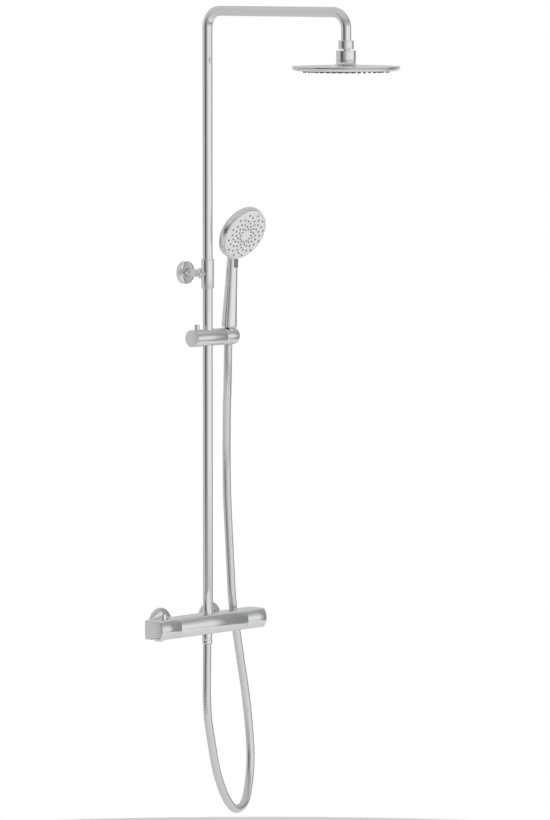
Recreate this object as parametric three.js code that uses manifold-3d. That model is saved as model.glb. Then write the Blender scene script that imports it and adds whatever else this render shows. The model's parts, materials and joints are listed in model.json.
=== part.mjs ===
// Rainfall shower column: a thermostatic bar mixer on two wall unions, a riser with an overhead
// arm and a round rain head, and a hand shower in a sliding holder on a flexible hose.
// Millimetres. X runs along the wall, the wall is the plane Y = 0 with the room at -Y, Z is up.
// The origin is on the wall, midway between the two inlets.
import * as THREE from 'three';
import { mergeVertices } from 'three/addons/utils/BufferGeometryUtils.js';
import Module from 'manifold-3d';

const wasm = await Module();
wasm.setup();

// ---------------------------------------------------------------- driving dimensions
const GAP = 0.3; // left between pieces that touch
const SEAM = 0.8; // shown between the mixer body and its end knobs
const BROAD = 32; // facets of the rain head's turned pieces
const ROUND = 24; // facets of a large turned piece
const MIDDLE = 18; // facets of a middling one
const SMALL = 14; // facets of a small one

const INLET_SPACING = 150;
const RISER_OUT = 63; // wall to riser axis
const TUBE_R = 10;
const TUBE_WALL = 1.2;

const FLANGE = { radius: 34, bore: 14, depth: 10, wall: 2, skirt: 3 };
const TAIL = { radius: 10.5, bore: 7, intoWall: 14, collar: 13.2, collarAt: 19, collarLong: 3 };
const UNION_NUT = { acrossFlats: 30, lip: 2.2 };

const MIXER = { back: 35, corner: 75.5, bow: 7, height: 38.5, bodyLength: 201.4, chamfer: 3, fillet: 3 };
const KNOB_LONG = 57.5;
const KNOB_EDGE = 2;
const KNOB_CAVITY = { radius: 15, depth: 24, front: 16 };
const CARTRIDGE = { radius: 14.6, long: 49, nose: 11, noseLong: 11, wall: 4, bearing: 20 };
const SPINDLE_R = 5;
const SAFETY_BUTTON = { radius: 5.5, proud: 10, sunk: 9, travel: 3, at: 26.5 };

const WASHER_THICK = 2;
const VALVE = { wall: 4.7, from: 2, into: 4 };
const WATERWAY_R = 4.5; // the mixer's inner ways
const SEAT = { from: 5, sealAt: 9, sealWide: 2.6, sealWall: 1.9 }; // of the riser in the mixer
const GRUB_SCREW = { radius: 2.5, height: 15.4 };
const OUTLET = { radius: 7.5, below: 12, sunk: 7.5, inward: 2 };
const HOSE_NUT = { radius: 10.1, long: 20 };
const HOSE_R = 8.3;
const HOSE_SIDES = 8;
const HOSE_STEPS = 40;

const SLEEVE = { wall: 2.5, bottom: 666.4, top: 724.7, rib: 4 };
const SLEEVE_BOSS = { radius: 10.8, out: 19.7 };
const SLEEVE_SEAL = { wall: 1.1, high: 2.4, apart: 28 };
const CLAMP_SCREW = { head: 4, headLong: 14, shank: 2.4, edge: 0.6 };
const BRACKET = { cover: 22.4, depth: 10, wall: 1.5, base: 6, stem: 7.25, crossR: 7.5, crossLong: 16 };
const WALL_SCREW = { shank: 2.2, head: 4, point: 1, pointLong: 2, long: 11, seat: 2.5 };
const ANCHOR = { radius: 4.4, long: 13 };

const ARM = { height: 1213.8, reach: 353, bend: 32, end: 1148 };
const ARM_FITTING = { radius: 15.1, top: 1159.3, bottom: 1142.6, bore: 8.6 };
const FLOW_LIMITER = { bore: 2.5, thick: 4 };
const BALL = { radius: 11, height: 1128, neck: 6, bore: 3.2, low: 72 }; // its bore's mouth is at -low degrees
const BALL_NUT = { radius: 19.4, bottom: 1119.8, top: 1140, lip: 8.5, skirt: 13.3, edge: 0.8 };
const BALL_SEAT = { wall: 1.5, half: 18 }; // half its angle of contact
const HEAD = { radius: 105.5, top: 1112, rim: 1108, under: 1100.5, faceR: 94, wall: 1.6, matR: 86 };
const HUB = { spigot: 13, cup: 5.8, throat: 4.5, crown: 18.7, waist: 20.3, foot: 24.5 };
const SPREADER = { bore: 4, radius: 40, above: 2.6, thick: 1.4 };

const SLIDER = { height: 569, radius: 17, left: -49, seam: 42.5, right: 79.3, cap: 2.5 };
const SLIDER_BUTTON = { radius: 5.25, proud: 10, at: -32, travel: 3 };
const CLAMP_ROD_R = 3.5;
const BUSH = { wall: 2.8, half: 11 };
const CUP_AT = 64; // holder hole along X
const CUP_HOLE = { top: 12.2, bottom: 10.9 };

const LEAN = 3.6; // degrees that the hand shower leans out from the wall
const TURN = -3; // degrees that it is turned in its holder
const HANDLE = { bottom: 15.6, top: 11, long: 140, bore: 6.8 };
const FACE = { radius: 53.5, out: 33, up: 203.5, tilt: 23.2, plateR: 50.4, plate: 3 };
const BOWL = { radius: 56.2, widest: -14, depth: 23, backR: 44 };
const FACE_MAT = { inner: 8, outer: 45, thick: 0.7 };
const MODE_BUTTON = { wide: 9.6, high: 16.6, proud: 1.4, bottom: 137, corner: 2, travel: 1.5 };
const HANDSET_WAY = { bore: 4.2, tailFrom: 4, tailLong: 24.3, gap: 1 };
const SELECTOR = { bore: 6, radius: 40, from: -9, thick: 4 };
const CHAMBER = { radius: 43, floor: -12 };

// The hose's centreline, from the mixer outlet round its loop, up behind the flow knob and into
// the holder.
const HOSE_ROUTE = [
  [0, -61, -40.2],
  [-0.5, -61, -75],
  [-1, -61, -112],
  [-1, -61, -150],
  [2, -61, -188],
  [12, -60, -230],
  [36, -56, -303],
  [70, -51, -358],
  [108, -43, -384],
  [146, -34, -376],
  [168, -27, -338],
  [178, -23, -290],
  [177, -21, -240],
  [168, -19, -164],
  [151, -19, -85],
  [139, -19, -30],
  [131, -19, 4],
  [125, -19, 45],
  [121, -19, 96],
  [116, -19, 164],
  [110, -19.5, 245],
  [103, -24, 330],
  [84, -41, 420],
  [72, -53, 468],
  [65.5, -59.5, 512],
  [64, -61.6, 552.3],
];

// ---------------------------------------------------------------- finishes
function finish(color, metalness, roughness) {
  return new THREE.MeshStandardMaterial({ color, metalness, roughness });
}
const chrome = finish(0xd5d7d9, 1.0, 0.07);
const brass = finish(0xb9975b, 1.0, 0.35);
const steel = finish(0xa9abad, 1.0, 0.35);
const greyPlastic = finish(0xdcdddd, 0.0, 0.35);
const darkPlastic = finish(0x4a4b4d, 0.0, 0.45);
const whitePlastic = finish(0xf0f0ec, 0.0, 0.4);
const rubber = finish(0x2a2a2b, 0.0, 0.8);
const silverHose = finish(0xc2c4c6, 0.7, 0.25);

// ---------------------------------------------------------------- solids
/** A geometry as one closed body: merged corners, no empty triangles, faces pointing out. */
function closed(geometry) {
  const bare = geometry.clone();
  bare.deleteAttribute('normal');
  bare.deleteAttribute('uv');
  const merged = mergeVertices(bare, 1e-4);
  const corners = merged.index.array;
  const position = merged.attributes.position;
  const a = new THREE.Vector3();
  const b = new THREE.Vector3();
  const c = new THREE.Vector3();
  const kept = [];
  let volume = 0;
  for (let i = 0; i < corners.length; i += 3) {
    const [p, q, r] = [corners[i], corners[i + 1], corners[i + 2]];
    if (p === q || q === r || r === p) continue;
    kept.push(p, q, r);
    a.fromBufferAttribute(position, p);
    b.fromBufferAttribute(position, q);
    c.fromBufferAttribute(position, r);
    volume += a.dot(b.cross(c));
  }
  if (volume < 0) {
    for (let i = 0; i < kept.length; i += 3) [kept[i], kept[i + 1]] = [kept[i + 1], kept[i]];
  }
  merged.setIndex(kept);
  return merged;
}

function toSolid(geometry) {
  const body = closed(geometry);
  return new wasm.Manifold(new wasm.Mesh({
    numProp: 3,
    vertProperties: Float32Array.from(body.attributes.position.array),
    triVerts: Uint32Array.from(body.index.array),
  }));
}

function fromSolid(solid) {
  const mesh = solid.getMesh();
  const geometry = new THREE.BufferGeometry();
  geometry.setAttribute('position', new THREE.BufferAttribute(Float32Array.from(mesh.vertProperties), 3));
  geometry.setIndex(new THREE.BufferAttribute(Uint32Array.from(mesh.triVerts), 1));
  return geometry;
}

function cut(body, ...tools) {
  return fromSolid(tools.reduce((rest, tool) => rest.subtract(toSolid(tool)), toSolid(body)));
}

function join(...bodies) {
  return fromSolid(bodies.slice(1).reduce((whole, body) => whole.add(toSolid(body)), toSolid(bodies[0])));
}

/** A solid turned about Z from [radius, height] corners. */
function turned(profile, facets = SMALL) {
  const points = profile.map(([r, z]) => new THREE.Vector2(r, z));
  const [first, last] = [profile[0], profile[profile.length - 1]];
  if (first[0] > 0 || last[0] > 0) points.push(points[0].clone());
  return closed(new THREE.LatheGeometry(points, facets).rotateX(Math.PI / 2));
}

/** A tube or ring about Z between two heights. */
function ring(inner, outer, low, high, facets = SMALL) {
  return turned([[inner, low], [outer, low], [outer, high], [inner, high]], facets);
}

/** A plain cylinder about Z between two heights. */
function rod(radius, low, high, facets = SMALL) {
  return turned([[0, low], [radius, low], [radius, high], [0, high]], facets);
}

/** Corners along an arc about a point on the Z axis, between two angles above the horizontal. */
function arc(radius, centre, from, to, steps) {
  return Array.from({ length: steps + 1 }, (_, i) => {
    const angle = from + (i / steps) * (to - from);
    return [radius * Math.cos(angle), centre + radius * Math.sin(angle)];
  });
}

/** A round push button about Z with an eased top edge. */
function pressButton(radius, low, high) {
  const edge = 0.8;
  return turned([[0, low], [radius, low], [radius, high - edge], [radius - edge, high], [0, high]], MIDDLE);
}

/** Corners along a quarter of an ellipse, from its side to its crown. */
function quarter(radius, rise, fromZ, count) {
  return Array.from({ length: count }, (_, i) => {
    const angle = (i / count) * (Math.PI / 2);
    return [radius * Math.cos(angle), fromZ + rise * Math.sin(angle)];
  });
}

const degrees = THREE.MathUtils.degToRad;
const alongX = (geometry) => geometry.rotateY(Math.PI / 2); // Z axis turned to +X
const outward = (geometry) => geometry.rotateX(Math.PI / 2); // Z axis turned to -Y, into the room
const moved = (geometry, x, y, z) => geometry.translate(x, y, z);

function piece(name, geometry, material, place = [0, 0, 0]) {
  const mesh = new THREE.Mesh(geometry, material);
  mesh.name = name;
  mesh.position.set(...place);
  return mesh;
}

function group(...children) {
  const parent = new THREE.Group();
  parent.add(...children);
  return parent;
}

/** A curve through stations, so that a bend has as many sections as it was given and no more. */
class Run extends THREE.Curve {
  constructor(stations) {
    super();
    this.stations = stations;
  }

  getPoint(t, target = new THREE.Vector3()) {
    const along = THREE.MathUtils.clamp(t, 0, 1) * (this.stations.length - 1);
    const from = Math.min(Math.floor(along), this.stations.length - 2);
    return target.lerpVectors(this.stations[from], this.stations[from + 1], along - from);
  }

  getUtoTmapping(u) {
    return u;
  }
}

function circle(radius, inner = 0) {
  const shape = new THREE.Shape().absarc(0, 0, radius, 0, Math.PI * 2, false);
  if (inner > 0) shape.holes.push(new THREE.Path().absarc(0, 0, inner, 0, Math.PI * 2, true));
  return shape;
}

// ---------------------------------------------------------------- wall unions
const mixerMiddle = (MIXER.back + MIXER.corner + MIXER.bow) / 2; // wall to the knobs' axis
const halfHeight = MIXER.height / 2;
const bodyEnd = MIXER.bodyLength / 2;
const inletBore = TAIL.bore + 1;
const washerFrom = TAIL.collarAt + TAIL.collarLong + GAP;
const washerTo = washerFrom + WASHER_THICK;
const spigotFrom = washerTo + GAP;

function wallUnion(side, name) {
  const { radius, bore, depth, wall, skirt } = FLANGE;
  const inside = radius - wall - 1;
  const dome = quarter(radius - bore, depth - skirt, skirt, 4).map(([r, z]) => [r + bore, z]);
  const under = quarter(inside - bore, depth - skirt - wall, skirt, 3).map(([r, z]) => [r + bore, z]);
  const flange = turned([
    [inside, 0], [radius, 0], ...dome, [bore, depth], [bore, depth - wall], ...under.reverse(),
  ], ROUND);

  const collarEnd = TAIL.collarAt + TAIL.collarLong;
  const tail = turned([
    [TAIL.bore, -TAIL.intoWall], [TAIL.radius, -TAIL.intoWall], [TAIL.radius, TAIL.collarAt],
    [TAIL.collar, TAIL.collarAt], [TAIL.collar, collarEnd], [TAIL.bore, collarEnd],
  ]);

  const lipTo = TAIL.collarAt - GAP;
  const nutFrom = lipTo - UNION_NUT.lip;
  const nutTo = MIXER.back - 2 * GAP;
  const hex = new THREE.CylinderGeometry(1, 1, nutTo - nutFrom, 6).rotateX(Math.PI / 2);
  const hexRadius = UNION_NUT.acrossFlats / 2 / Math.cos(Math.PI / 6);
  hex.scale(hexRadius, hexRadius, 1).translate(0, 0, (nutTo + nutFrom) / 2);
  const nut = cut(hex, rod(TAIL.radius + GAP, nutFrom - 1, lipTo + 1),
    rod(TAIL.collar + GAP, lipTo, nutTo + 1));

  const washer = ring(TAIL.bore, TAIL.collar - GAP, washerFrom, washerTo);
  const valveR = inletBore - GAP;
  const valve = ring(valveR - VALVE.wall + 1, valveR, spigotFrom + VALVE.from, MIXER.back + VALVE.into);
  const place = [side * INLET_SPACING / 2, 0, 0];
  return group(
    piece(`wall_flange_${name}`, outward(flange), chrome, place),
    piece(`union_tail_${name}`, outward(tail), brass, place),
    piece(`union_nut_${name}`, outward(nut), chrome, place),
    piece(`filter_washer_${name}`, outward(washer), rubber, place),
    piece(`check_valve_${name}`, outward(valve), whitePlastic, place),
  );
}

// ---------------------------------------------------------------- mixer
/** The bar's cross-section: x is the distance from the wall, y is the height. */
function barSection() {
  const { back, corner, bow, chamfer, fillet } = MIXER;
  const h = halfHeight;
  const shape = new THREE.Shape();
  shape.moveTo(back, -h + chamfer);
  shape.lineTo(back, h - chamfer);
  shape.lineTo(back + chamfer, h);
  shape.lineTo(corner - fillet, h);
  shape.quadraticCurveTo(corner, h, corner + fillet * 0.4, h - fillet);
  shape.quadraticCurveTo(corner + bow * 2 - fillet * 0.4, 0, corner + fillet * 0.4, -h + fillet);
  shape.quadraticCurveTo(corner, -h, corner - fillet, -h);
  shape.lineTo(back + chamfer, -h);
  shape.closePath();
  return shape;
}

/** The section run along X between two ends, with its outer edges eased by `edge`. */
function bar(from, to, edge = 0) {
  const options = { depth: to - from - 2 * edge, steps: 1, curveSegments: 5, bevelEnabled: edge > 0,
    bevelThickness: edge, bevelSize: edge, bevelOffset: -edge, bevelSegments: 2 };
  const geometry = new THREE.ExtrudeGeometry(barSection(), options).translate(0, 0, edge);
  const turn = new THREE.Matrix4().makeBasis(
    new THREE.Vector3(0, -1, 0), new THREE.Vector3(0, 0, 1), new THREE.Vector3(-1, 0, 0));
  return geometry.applyMatrix4(turn).translate(to, 0, 0);
}

const axisY = -mixerMiddle;
const cartridgeBore = CARTRIDGE.radius + GAP;
const cartridgeDepth = CARTRIDGE.long + 1;
const outletOut = RISER_OUT - OUTLET.inward;
const onInlet = (side, geometry) => moved(outward(geometry), side * INLET_SPACING / 2, 0, 0);
const onKnobAxis = (side, geometry) => moved(alongX(geometry).scale(side, 1, 1), 0, axisY, 0);
const onRiserAxis = (geometry) => moved(geometry, 0, -RISER_OUT, 0);
const onOutlet = (geometry) => moved(geometry, 0, -outletOut, 0);

function mixerBody() {
  const spigot = (side) => onInlet(side, rod(TAIL.collar, spigotFrom, MIXER.back + 2));
  const inlet = (side) => onInlet(side, rod(inletBore, spigotFrom - 1, mixerMiddle - 5));
  const chamberFrom = bodyEnd - cartridgeDepth;
  const chamber = (side) => onKnobAxis(side, rod(cartridgeBore, chamberFrom, bodyEnd + 1, MIDDLE));
  const wayHalf = bodyEnd - cartridgeDepth + 2;
  const grooveTo = SEAT.sealAt + SEAT.sealWide + 2 * GAP;
  const sealGroove = rod(TUBE_R + SEAT.sealWall + 2 * GAP, SEAT.sealAt, grooveTo);
  const grubHole = outward(rod(GRUB_SCREW.radius + GAP, MIXER.back - 1, RISER_OUT - TUBE_R + 1));
  return cut(
    join(bar(-bodyEnd, bodyEnd), spigot(-1), spigot(1)),
    inlet(-1), inlet(1), chamber(-1), chamber(1),
    moved(alongX(rod(WATERWAY_R, -wayHalf, wayHalf)), 0, axisY, -2),
    onRiserAxis(rod(TUBE_R + GAP, SEAT.from, halfHeight + 1, MIDDLE)),
    onRiserAxis(sealGroove),
    onRiserAxis(rod(WATERWAY_R, -1, SEAT.from + 1)),
    onOutlet(rod(OUTLET.radius + GAP, -halfHeight - 1, -halfHeight + OUTLET.sunk + GAP)),
    onOutlet(rod(WATERWAY_R, -halfHeight + OUTLET.sunk, -1)),
    moved(grubHole, 0, 0, GRUB_SCREW.height),
  );
}

/** An end knob of the bar, hollow behind and bored for its spindle, with any other cuts. */
function endKnob(side, ...cuts) {
  const from = bodyEnd + SEAM;
  const to = from + KNOB_LONG;
  const outer = side > 0 ? bar(from - KNOB_EDGE, to, KNOB_EDGE) : bar(-to, -from + KNOB_EDGE, KNOB_EDGE);
  const trim = new THREE.BoxGeometry(KNOB_EDGE * 2, MIXER.height * 2, MIXER.height * 2)
    .translate(side * (from - KNOB_EDGE), -mixerMiddle, 0);
  const hollow = onKnobAxis(side, rod(KNOB_CAVITY.radius, from - 3, from + KNOB_CAVITY.depth, MIDDLE));
  const socket = onKnobAxis(side, rod(SPINDLE_R + GAP, from, to - KNOB_CAVITY.front));
  return cut(outer, trim, hollow, socket, ...cuts);
}

function cartridge(side) {
  const { radius, long, nose, noseLong, wall, bearing } = CARTRIDGE;
  const end = bodyEnd - 1;
  const back = end - long + 1;
  const inner = SPINDLE_R + GAP;
  return closed(alongX(turned([
    [inner, end - bearing], [inner, end + noseLong], [nose, end + noseLong], [nose, end], [radius, end],
    [radius, back], [radius - wall, back], [radius - wall, end - bearing - 2], [inner, end - bearing - 2],
  ], MIDDLE)).scale(side, 1, 1));
}

function spindle(side) {
  const to = bodyEnd + SEAM + KNOB_LONG - KNOB_CAVITY.front - 1;
  return closed(alongX(rod(SPINDLE_R, bodyEnd - CARTRIDGE.bearing + 2, to)).scale(side, 1, 1));
}

function mixer() {
  const { radius: buttonR, proud, sunk, travel, at } = SAFETY_BUTTON;
  const buttonX = -(bodyEnd + SEAM + at);
  const buttonFrom = halfHeight - sunk;
  const buttonHole = moved(rod(buttonR + GAP, buttonFrom - travel - 0.5, halfHeight + 2), buttonX, axisY, 0);
  const button = pressButton(buttonR, buttonFrom, halfHeight + proud);
  const onAxis = [0, axisY, 0];
  const atRiser = [0, -RISER_OUT, 0];
  const atOutlet = [0, -outletOut, 0];
  const sealR = TUBE_R + GAP + SEAT.sealWall;
  const seal = ring(TUBE_R + GAP, sealR, SEAT.sealAt + GAP, SEAT.sealAt + GAP + SEAT.sealWide);
  const grubScrew = outward(rod(GRUB_SCREW.radius, 0, RISER_OUT - TUBE_R - MIXER.back - GAP, 10));
  const nipple = ring(WATERWAY_R, OUTLET.radius, -halfHeight - OUTLET.below, -halfHeight + OUTLET.sunk);
  return group(
    piece('mixer_body', mixerBody(), chrome),
    piece('temperature_knob', endKnob(-1, buttonHole), chrome),
    piece('flow_knob', endKnob(1), chrome),
    piece('thermostatic_cartridge', cartridge(-1), brass, onAxis),
    piece('diverter_cartridge', cartridge(1), whitePlastic, onAxis),
    piece('temperature_spindle', spindle(-1), brass, onAxis),
    piece('flow_spindle', spindle(1), brass, onAxis),
    piece('safety_stop_button', button, chrome, [buttonX, axisY, 0]),
    piece('riser_base_seal', seal, rubber, atRiser),
    piece('riser_grub_screw', grubScrew, steel, [0, -MIXER.back, GRUB_SCREW.height]),
    piece('outlet_nipple', nipple, brass, atOutlet),
  );
}

// ---------------------------------------------------------------- riser, bracket and arm
const sleeveMiddle = (SLEEVE.bottom + SLEEVE.top) / 2;
const sleeveR = TUBE_R + SLEEVE.wall;
const sleeveSeals = [sleeveMiddle - SLEEVE_SEAL.apart / 2, sleeveMiddle + SLEEVE_SEAL.apart / 2];

function riser() {
  const low = SEAT.from + 1;
  const high = sleeveMiddle - SLEEVE.rib / 2 - GAP;
  const tube = ring(TUBE_R - TUBE_WALL, TUBE_R, low, high, ROUND);
  return piece('lower_riser', tube, chrome, [0, -RISER_OUT, 0]);
}

function coupling() {
  const boss = moved(outward(rod(SLEEVE_BOSS.radius, -SLEEVE_BOSS.out, 0, MIDDLE)), 0, 0, sleeveMiddle);
  const sealR = TUBE_R + GAP + SLEEVE_SEAL.wall;
  const sealHalf = SLEEVE_SEAL.high / 2;
  const grooves = sleeveSeals.map((z) => rod(sealR + GAP, z - sealHalf - GAP, z + sealHalf + GAP));
  const { head, headLong, shank, edge } = CLAMP_SCREW;
  const screwHole = moved(alongX(rod(shank + GAP, -sleeveR - 2, -TUBE_R)), 0, 0, sleeveMiddle);
  const sleeve = cut(
    join(rod(sleeveR, SLEEVE.bottom, SLEEVE.top, ROUND), boss),
    rod(TUBE_R + GAP, SLEEVE.bottom - 1, sleeveMiddle - SLEEVE.rib / 2, ROUND),
    rod(TUBE_R + GAP, sleeveMiddle + SLEEVE.rib / 2, SLEEVE.top + 1, ROUND),
    rod(TUBE_R - TUBE_WALL, SLEEVE.bottom, SLEEVE.top, ROUND), ...grooves, screwHole,
  );
  const seal = (z) => ring(TUBE_R + GAP, sealR, z - sealHalf, z + sealHalf);
  const headFrom = -sleeveR - GAP;
  const screw = turned([
    [0, headFrom - headLong], [head - edge, headFrom - headLong], [head, headFrom - headLong + edge],
    [head, headFrom], [shank, headFrom], [shank, -TUBE_R - GAP], [0, -TUBE_R - GAP],
  ]);
  const atRiser = [0, -RISER_OUT, 0];
  return group(
    piece('coupling_sleeve', sleeve, chrome, atRiser),
    piece('lower_sleeve_seal', seal(sleeveSeals[0]), rubber, atRiser),
    piece('upper_sleeve_seal', seal(sleeveSeals[1]), rubber, atRiser),
    piece('sleeve_clamp_screw', alongX(screw), chrome, [0, -RISER_OUT, sleeveMiddle]),
  );
}

function bracket() {
  const { cover, depth, wall, base: baseTo, stem, crossR, crossLong } = BRACKET;
  const { shank, head, point, pointLong, long, seat } = WALL_SCREW;
  const inside = cover - wall;
  const edge = 0.8;
  const coverShell = turned([
    [inside, 0], [cover, 0], [cover, depth - edge], [cover - edge, depth], [stem + GAP, depth],
    [stem + GAP, depth - wall], [inside, depth - wall],
  ], ROUND);
  const stemTo = RISER_OUT - SLEEVE_BOSS.out - GAP;
  const cross = moved(alongX(rod(crossR, -crossLong / 2, crossLong / 2, MIDDLE)), 0, crossR - stemTo, 0);
  const arm = join(outward(rod(stem, baseTo + GAP, stemTo, MIDDLE)), cross);
  const sinkTo = baseTo + 0.1;
  const screwHole = turned([
    [0, -1], [shank + GAP, -1], [shank + GAP, seat], [head + edge, sinkTo], [0, sinkTo],
  ]);
  const base = cut(outward(rod(inside - 2 * GAP, 0, baseTo, MIDDLE)), outward(screwHole));
  const headTop = baseTo - 0.5;
  const screw = turned([
    [0, -long], [point, -long + pointLong], [shank, -long + 2 * pointLong], [shank, seat - GAP],
    [head, headTop], [0, headTop],
  ]);
  const anchor = ring(shank + GAP, ANCHOR.radius, -ANCHOR.long, -GAP);
  const place = [0, 0, sleeveMiddle];
  return group(
    piece('bracket_cover', outward(coverShell), chrome, place),
    piece('bracket_base', base, steel, place),
    piece('bracket_stem', arm, chrome, place),
    piece('bracket_wall_screw', outward(screw), steel, place),
    piece('bracket_wall_anchor', outward(anchor), darkPlastic, place),
  );
}

function armStations() {
  const { height, reach, bend, end } = ARM;
  const start = sleeveMiddle + SLEEVE.rib / 2 + GAP;
  const sections = 6;
  const stations = [new THREE.Vector3(0, 0, start)];
  for (const [centre, from] of [[-bend, 0], [-(reach - bend), 1]]) {
    for (let i = 0; i <= sections; i += 1) {
      const angle = (from + i / sections) * (Math.PI / 2);
      const out = centre + bend * Math.cos(angle);
      stations.push(new THREE.Vector3(0, out, height - bend + bend * Math.sin(angle)));
    }
  }
  stations.push(new THREE.Vector3(0, -reach, end));
  return stations;
}

function overheadArm() {
  const run = new Run(armStations());
  const tube = new THREE.ExtrudeGeometry(circle(TUBE_R, TUBE_R - TUBE_WALL),
    { steps: run.stations.length - 1, curveSegments: 8, extrudePath: run });
  const onRiser = [0, -RISER_OUT, 0];
  const onHead = [0, -RISER_OUT - ARM.reach, 0];
  const { radius, top, bottom, bore } = ARM_FITTING;
  const tubeSeat = ARM.end - 4 * GAP;
  const edge = BALL_NUT.edge;
  const fitting = turned([
    [TUBE_R + GAP, top], [radius - edge, top], [radius, top - edge], [radius, bottom], [bore, bottom],
    [bore, tubeSeat], [TUBE_R + GAP, tubeSeat],
  ], ROUND);
  const ball = arc(BALL.radius, BALL.height, -degrees(BALL.low), Math.acos(BALL.neck / BALL.radius), 8);
  const studR = bore - GAP;
  const studTop = tubeSeat - GAP;
  const stud = turned([
    [BALL.bore, ball[0][1]], ...ball, [BALL.neck, bottom], [studR, bottom], [studR, studTop],
    [BALL.bore, studTop],
  ], MIDDLE);
  const limiterFrom = studTop + GAP;
  const limiter = ring(FLOW_LIMITER.bore, studR, limiterFrom, limiterFrom + FLOW_LIMITER.thick);
  return group(
    piece('overhead_arm', closed(tube), chrome, onRiser),
    piece('arm_end_fitting', fitting, chrome, onHead),
    piece('ball_stud', stud, brass, onHead),
    piece('flow_limiter', limiter, whitePlastic, onHead),
  );
}

// ---------------------------------------------------------------- rain head
/** The nut that holds the ball from above. It screws onto the hub's spigot, and both tilt on the ball. */
function ballNut() {
  const { radius, bottom, top, lip, skirt, edge } = BALL_NUT;
  const cavity = BALL.radius + BALL_SEAT.wall + 2 * GAP;
  const bowl = arc(cavity, BALL.height, 0, Math.asin(lip / cavity), 6);
  return turned([
    ...bowl, [bowl[bowl.length - 1][0], top], [radius - edge, top], [radius, top - edge],
    [radius, bottom], [skirt, bottom], [skirt, BALL.height],
  ], ROUND);
}

function rainHead() {
  const { radius, top, rim, under, faceR, wall, matR } = HEAD;
  const { spigot, cup, throat, crown, waist, foot } = HUB;
  const hubTop = BALL_NUT.bottom - GAP;
  const cupR = BALL.radius + GAP;
  const cupArc = arc(cupR, BALL.height, -Math.acos(throat / cupR), -Math.asin(cup / cupR), 5);
  const shoulder = top - 2.2; // the disc's height just inside its rim
  const rimUnder = rim - 0.6;
  const hubUnder = top - wall - 0.4;
  const topShell = turned([
    ...cupArc, [spigot, BALL.height - cup], [spigot, hubTop], [crown, hubTop], [crown + 0.2, hubTop - 2],
    [waist, top + 3], [foot, top], [radius - 1.5, shoulder], [radius, rim + 0.9], [radius, rimUnder],
    [radius - wall, rimUnder], [radius - wall - 0.5, shoulder - wall], [foot, hubUnder], [throat, hubUnder],
  ], BROAD);
  const plateTop = rimUnder - 2 * GAP;
  const plate = turned([
    [matR + GAP, under], [faceR, under], [radius - 1, plateTop], [radius - 3, plateTop],
    [faceR - 1, under + wall], [matR + GAP, under + wall],
  ], BROAD);
  const mat = rod(matR, under + 0.2, under + 2, BROAD);
  const spreaderFrom = under + SPREADER.above;
  const spreader = ring(SPREADER.bore, SPREADER.radius, spreaderFrom, spreaderFrom + SPREADER.thick, MIDDLE);
  const seatIn = BALL.radius + GAP;
  const reach = degrees(BALL_SEAT.half);
  const seat = turned([
    ...arc(seatIn + BALL_SEAT.wall, BALL.height, -reach, reach, 5),
    ...arc(seatIn, BALL.height, reach, -reach, 5),
  ], MIDDLE);
  const place = [0, -RISER_OUT - ARM.reach, 0];
  return group(
    piece('ball_seat_ring', seat, whitePlastic, place),
    piece('ball_nut', ballNut(), chrome, place),
    piece('head_top_shell', topShell, chrome, place),
    piece('head_spray_plate', plate, chrome, place),
    piece('head_nozzle_mat', mat, darkPlastic, place),
    piece('head_spreader', spreader, whitePlastic, place),
  );
}

// ---------------------------------------------------------------- slider and holder
function slider() {
  const { height, radius, left, seam, cap } = SLIDER;
  const { radius: buttonR, proud, at, travel } = SLIDER_BUTTON;
  const bushR = TUBE_R + BUSH.wall;
  const buttonFrom = 8;
  const edge = 0.7;
  const buttonWell = rod(buttonR + GAP, buttonFrom - travel - 0.5, radius + 1);
  const body = cut(
    alongX(rod(radius, left + cap + GAP, seam, ROUND)),
    rod(TUBE_R + GAP * 2, -radius - 1, radius + 1, MIDDLE),
    rod(bushR + GAP, -BUSH.half - GAP, BUSH.half + GAP, MIDDLE),
    moved(buttonWell, at, 0, 0),
    alongX(rod(CLAMP_ROD_R + GAP, at - 8, -bushR + 1)),
  );
  const endCap = turned([
    [0, left], [radius - edge, left], [radius, left + edge], [radius, left + cap], [0, left + cap],
  ], ROUND);
  const bush = ring(TUBE_R + GAP, bushR, -BUSH.half, BUSH.half, MIDDLE);
  const clampRod = rod(CLAMP_ROD_R, at - 6, -bushR - GAP);
  const button = pressButton(buttonR, buttonFrom, radius + proud);
  const place = [0, -RISER_OUT, height];
  return group(
    piece('slider_body', body, chrome, place),
    piece('slider_end_cap', alongX(endCap), chrome, place),
    piece('slider_bush', bush, whitePlastic, place),
    piece('slider_clamp_rod', alongX(clampRod), steel, place),
    piece('slider_release_button', button, chrome, [at, -RISER_OUT, height]),
  );
}

// ---------------------------------------------------------------- hand shower
const handleFrom = SLIDER.radius + GAP;
const faceTurn = degrees(90 + FACE.tilt);
const toFace = (geometry) => geometry.rotateX(faceTurn).translate(0, -FACE.out, FACE.up);

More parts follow.
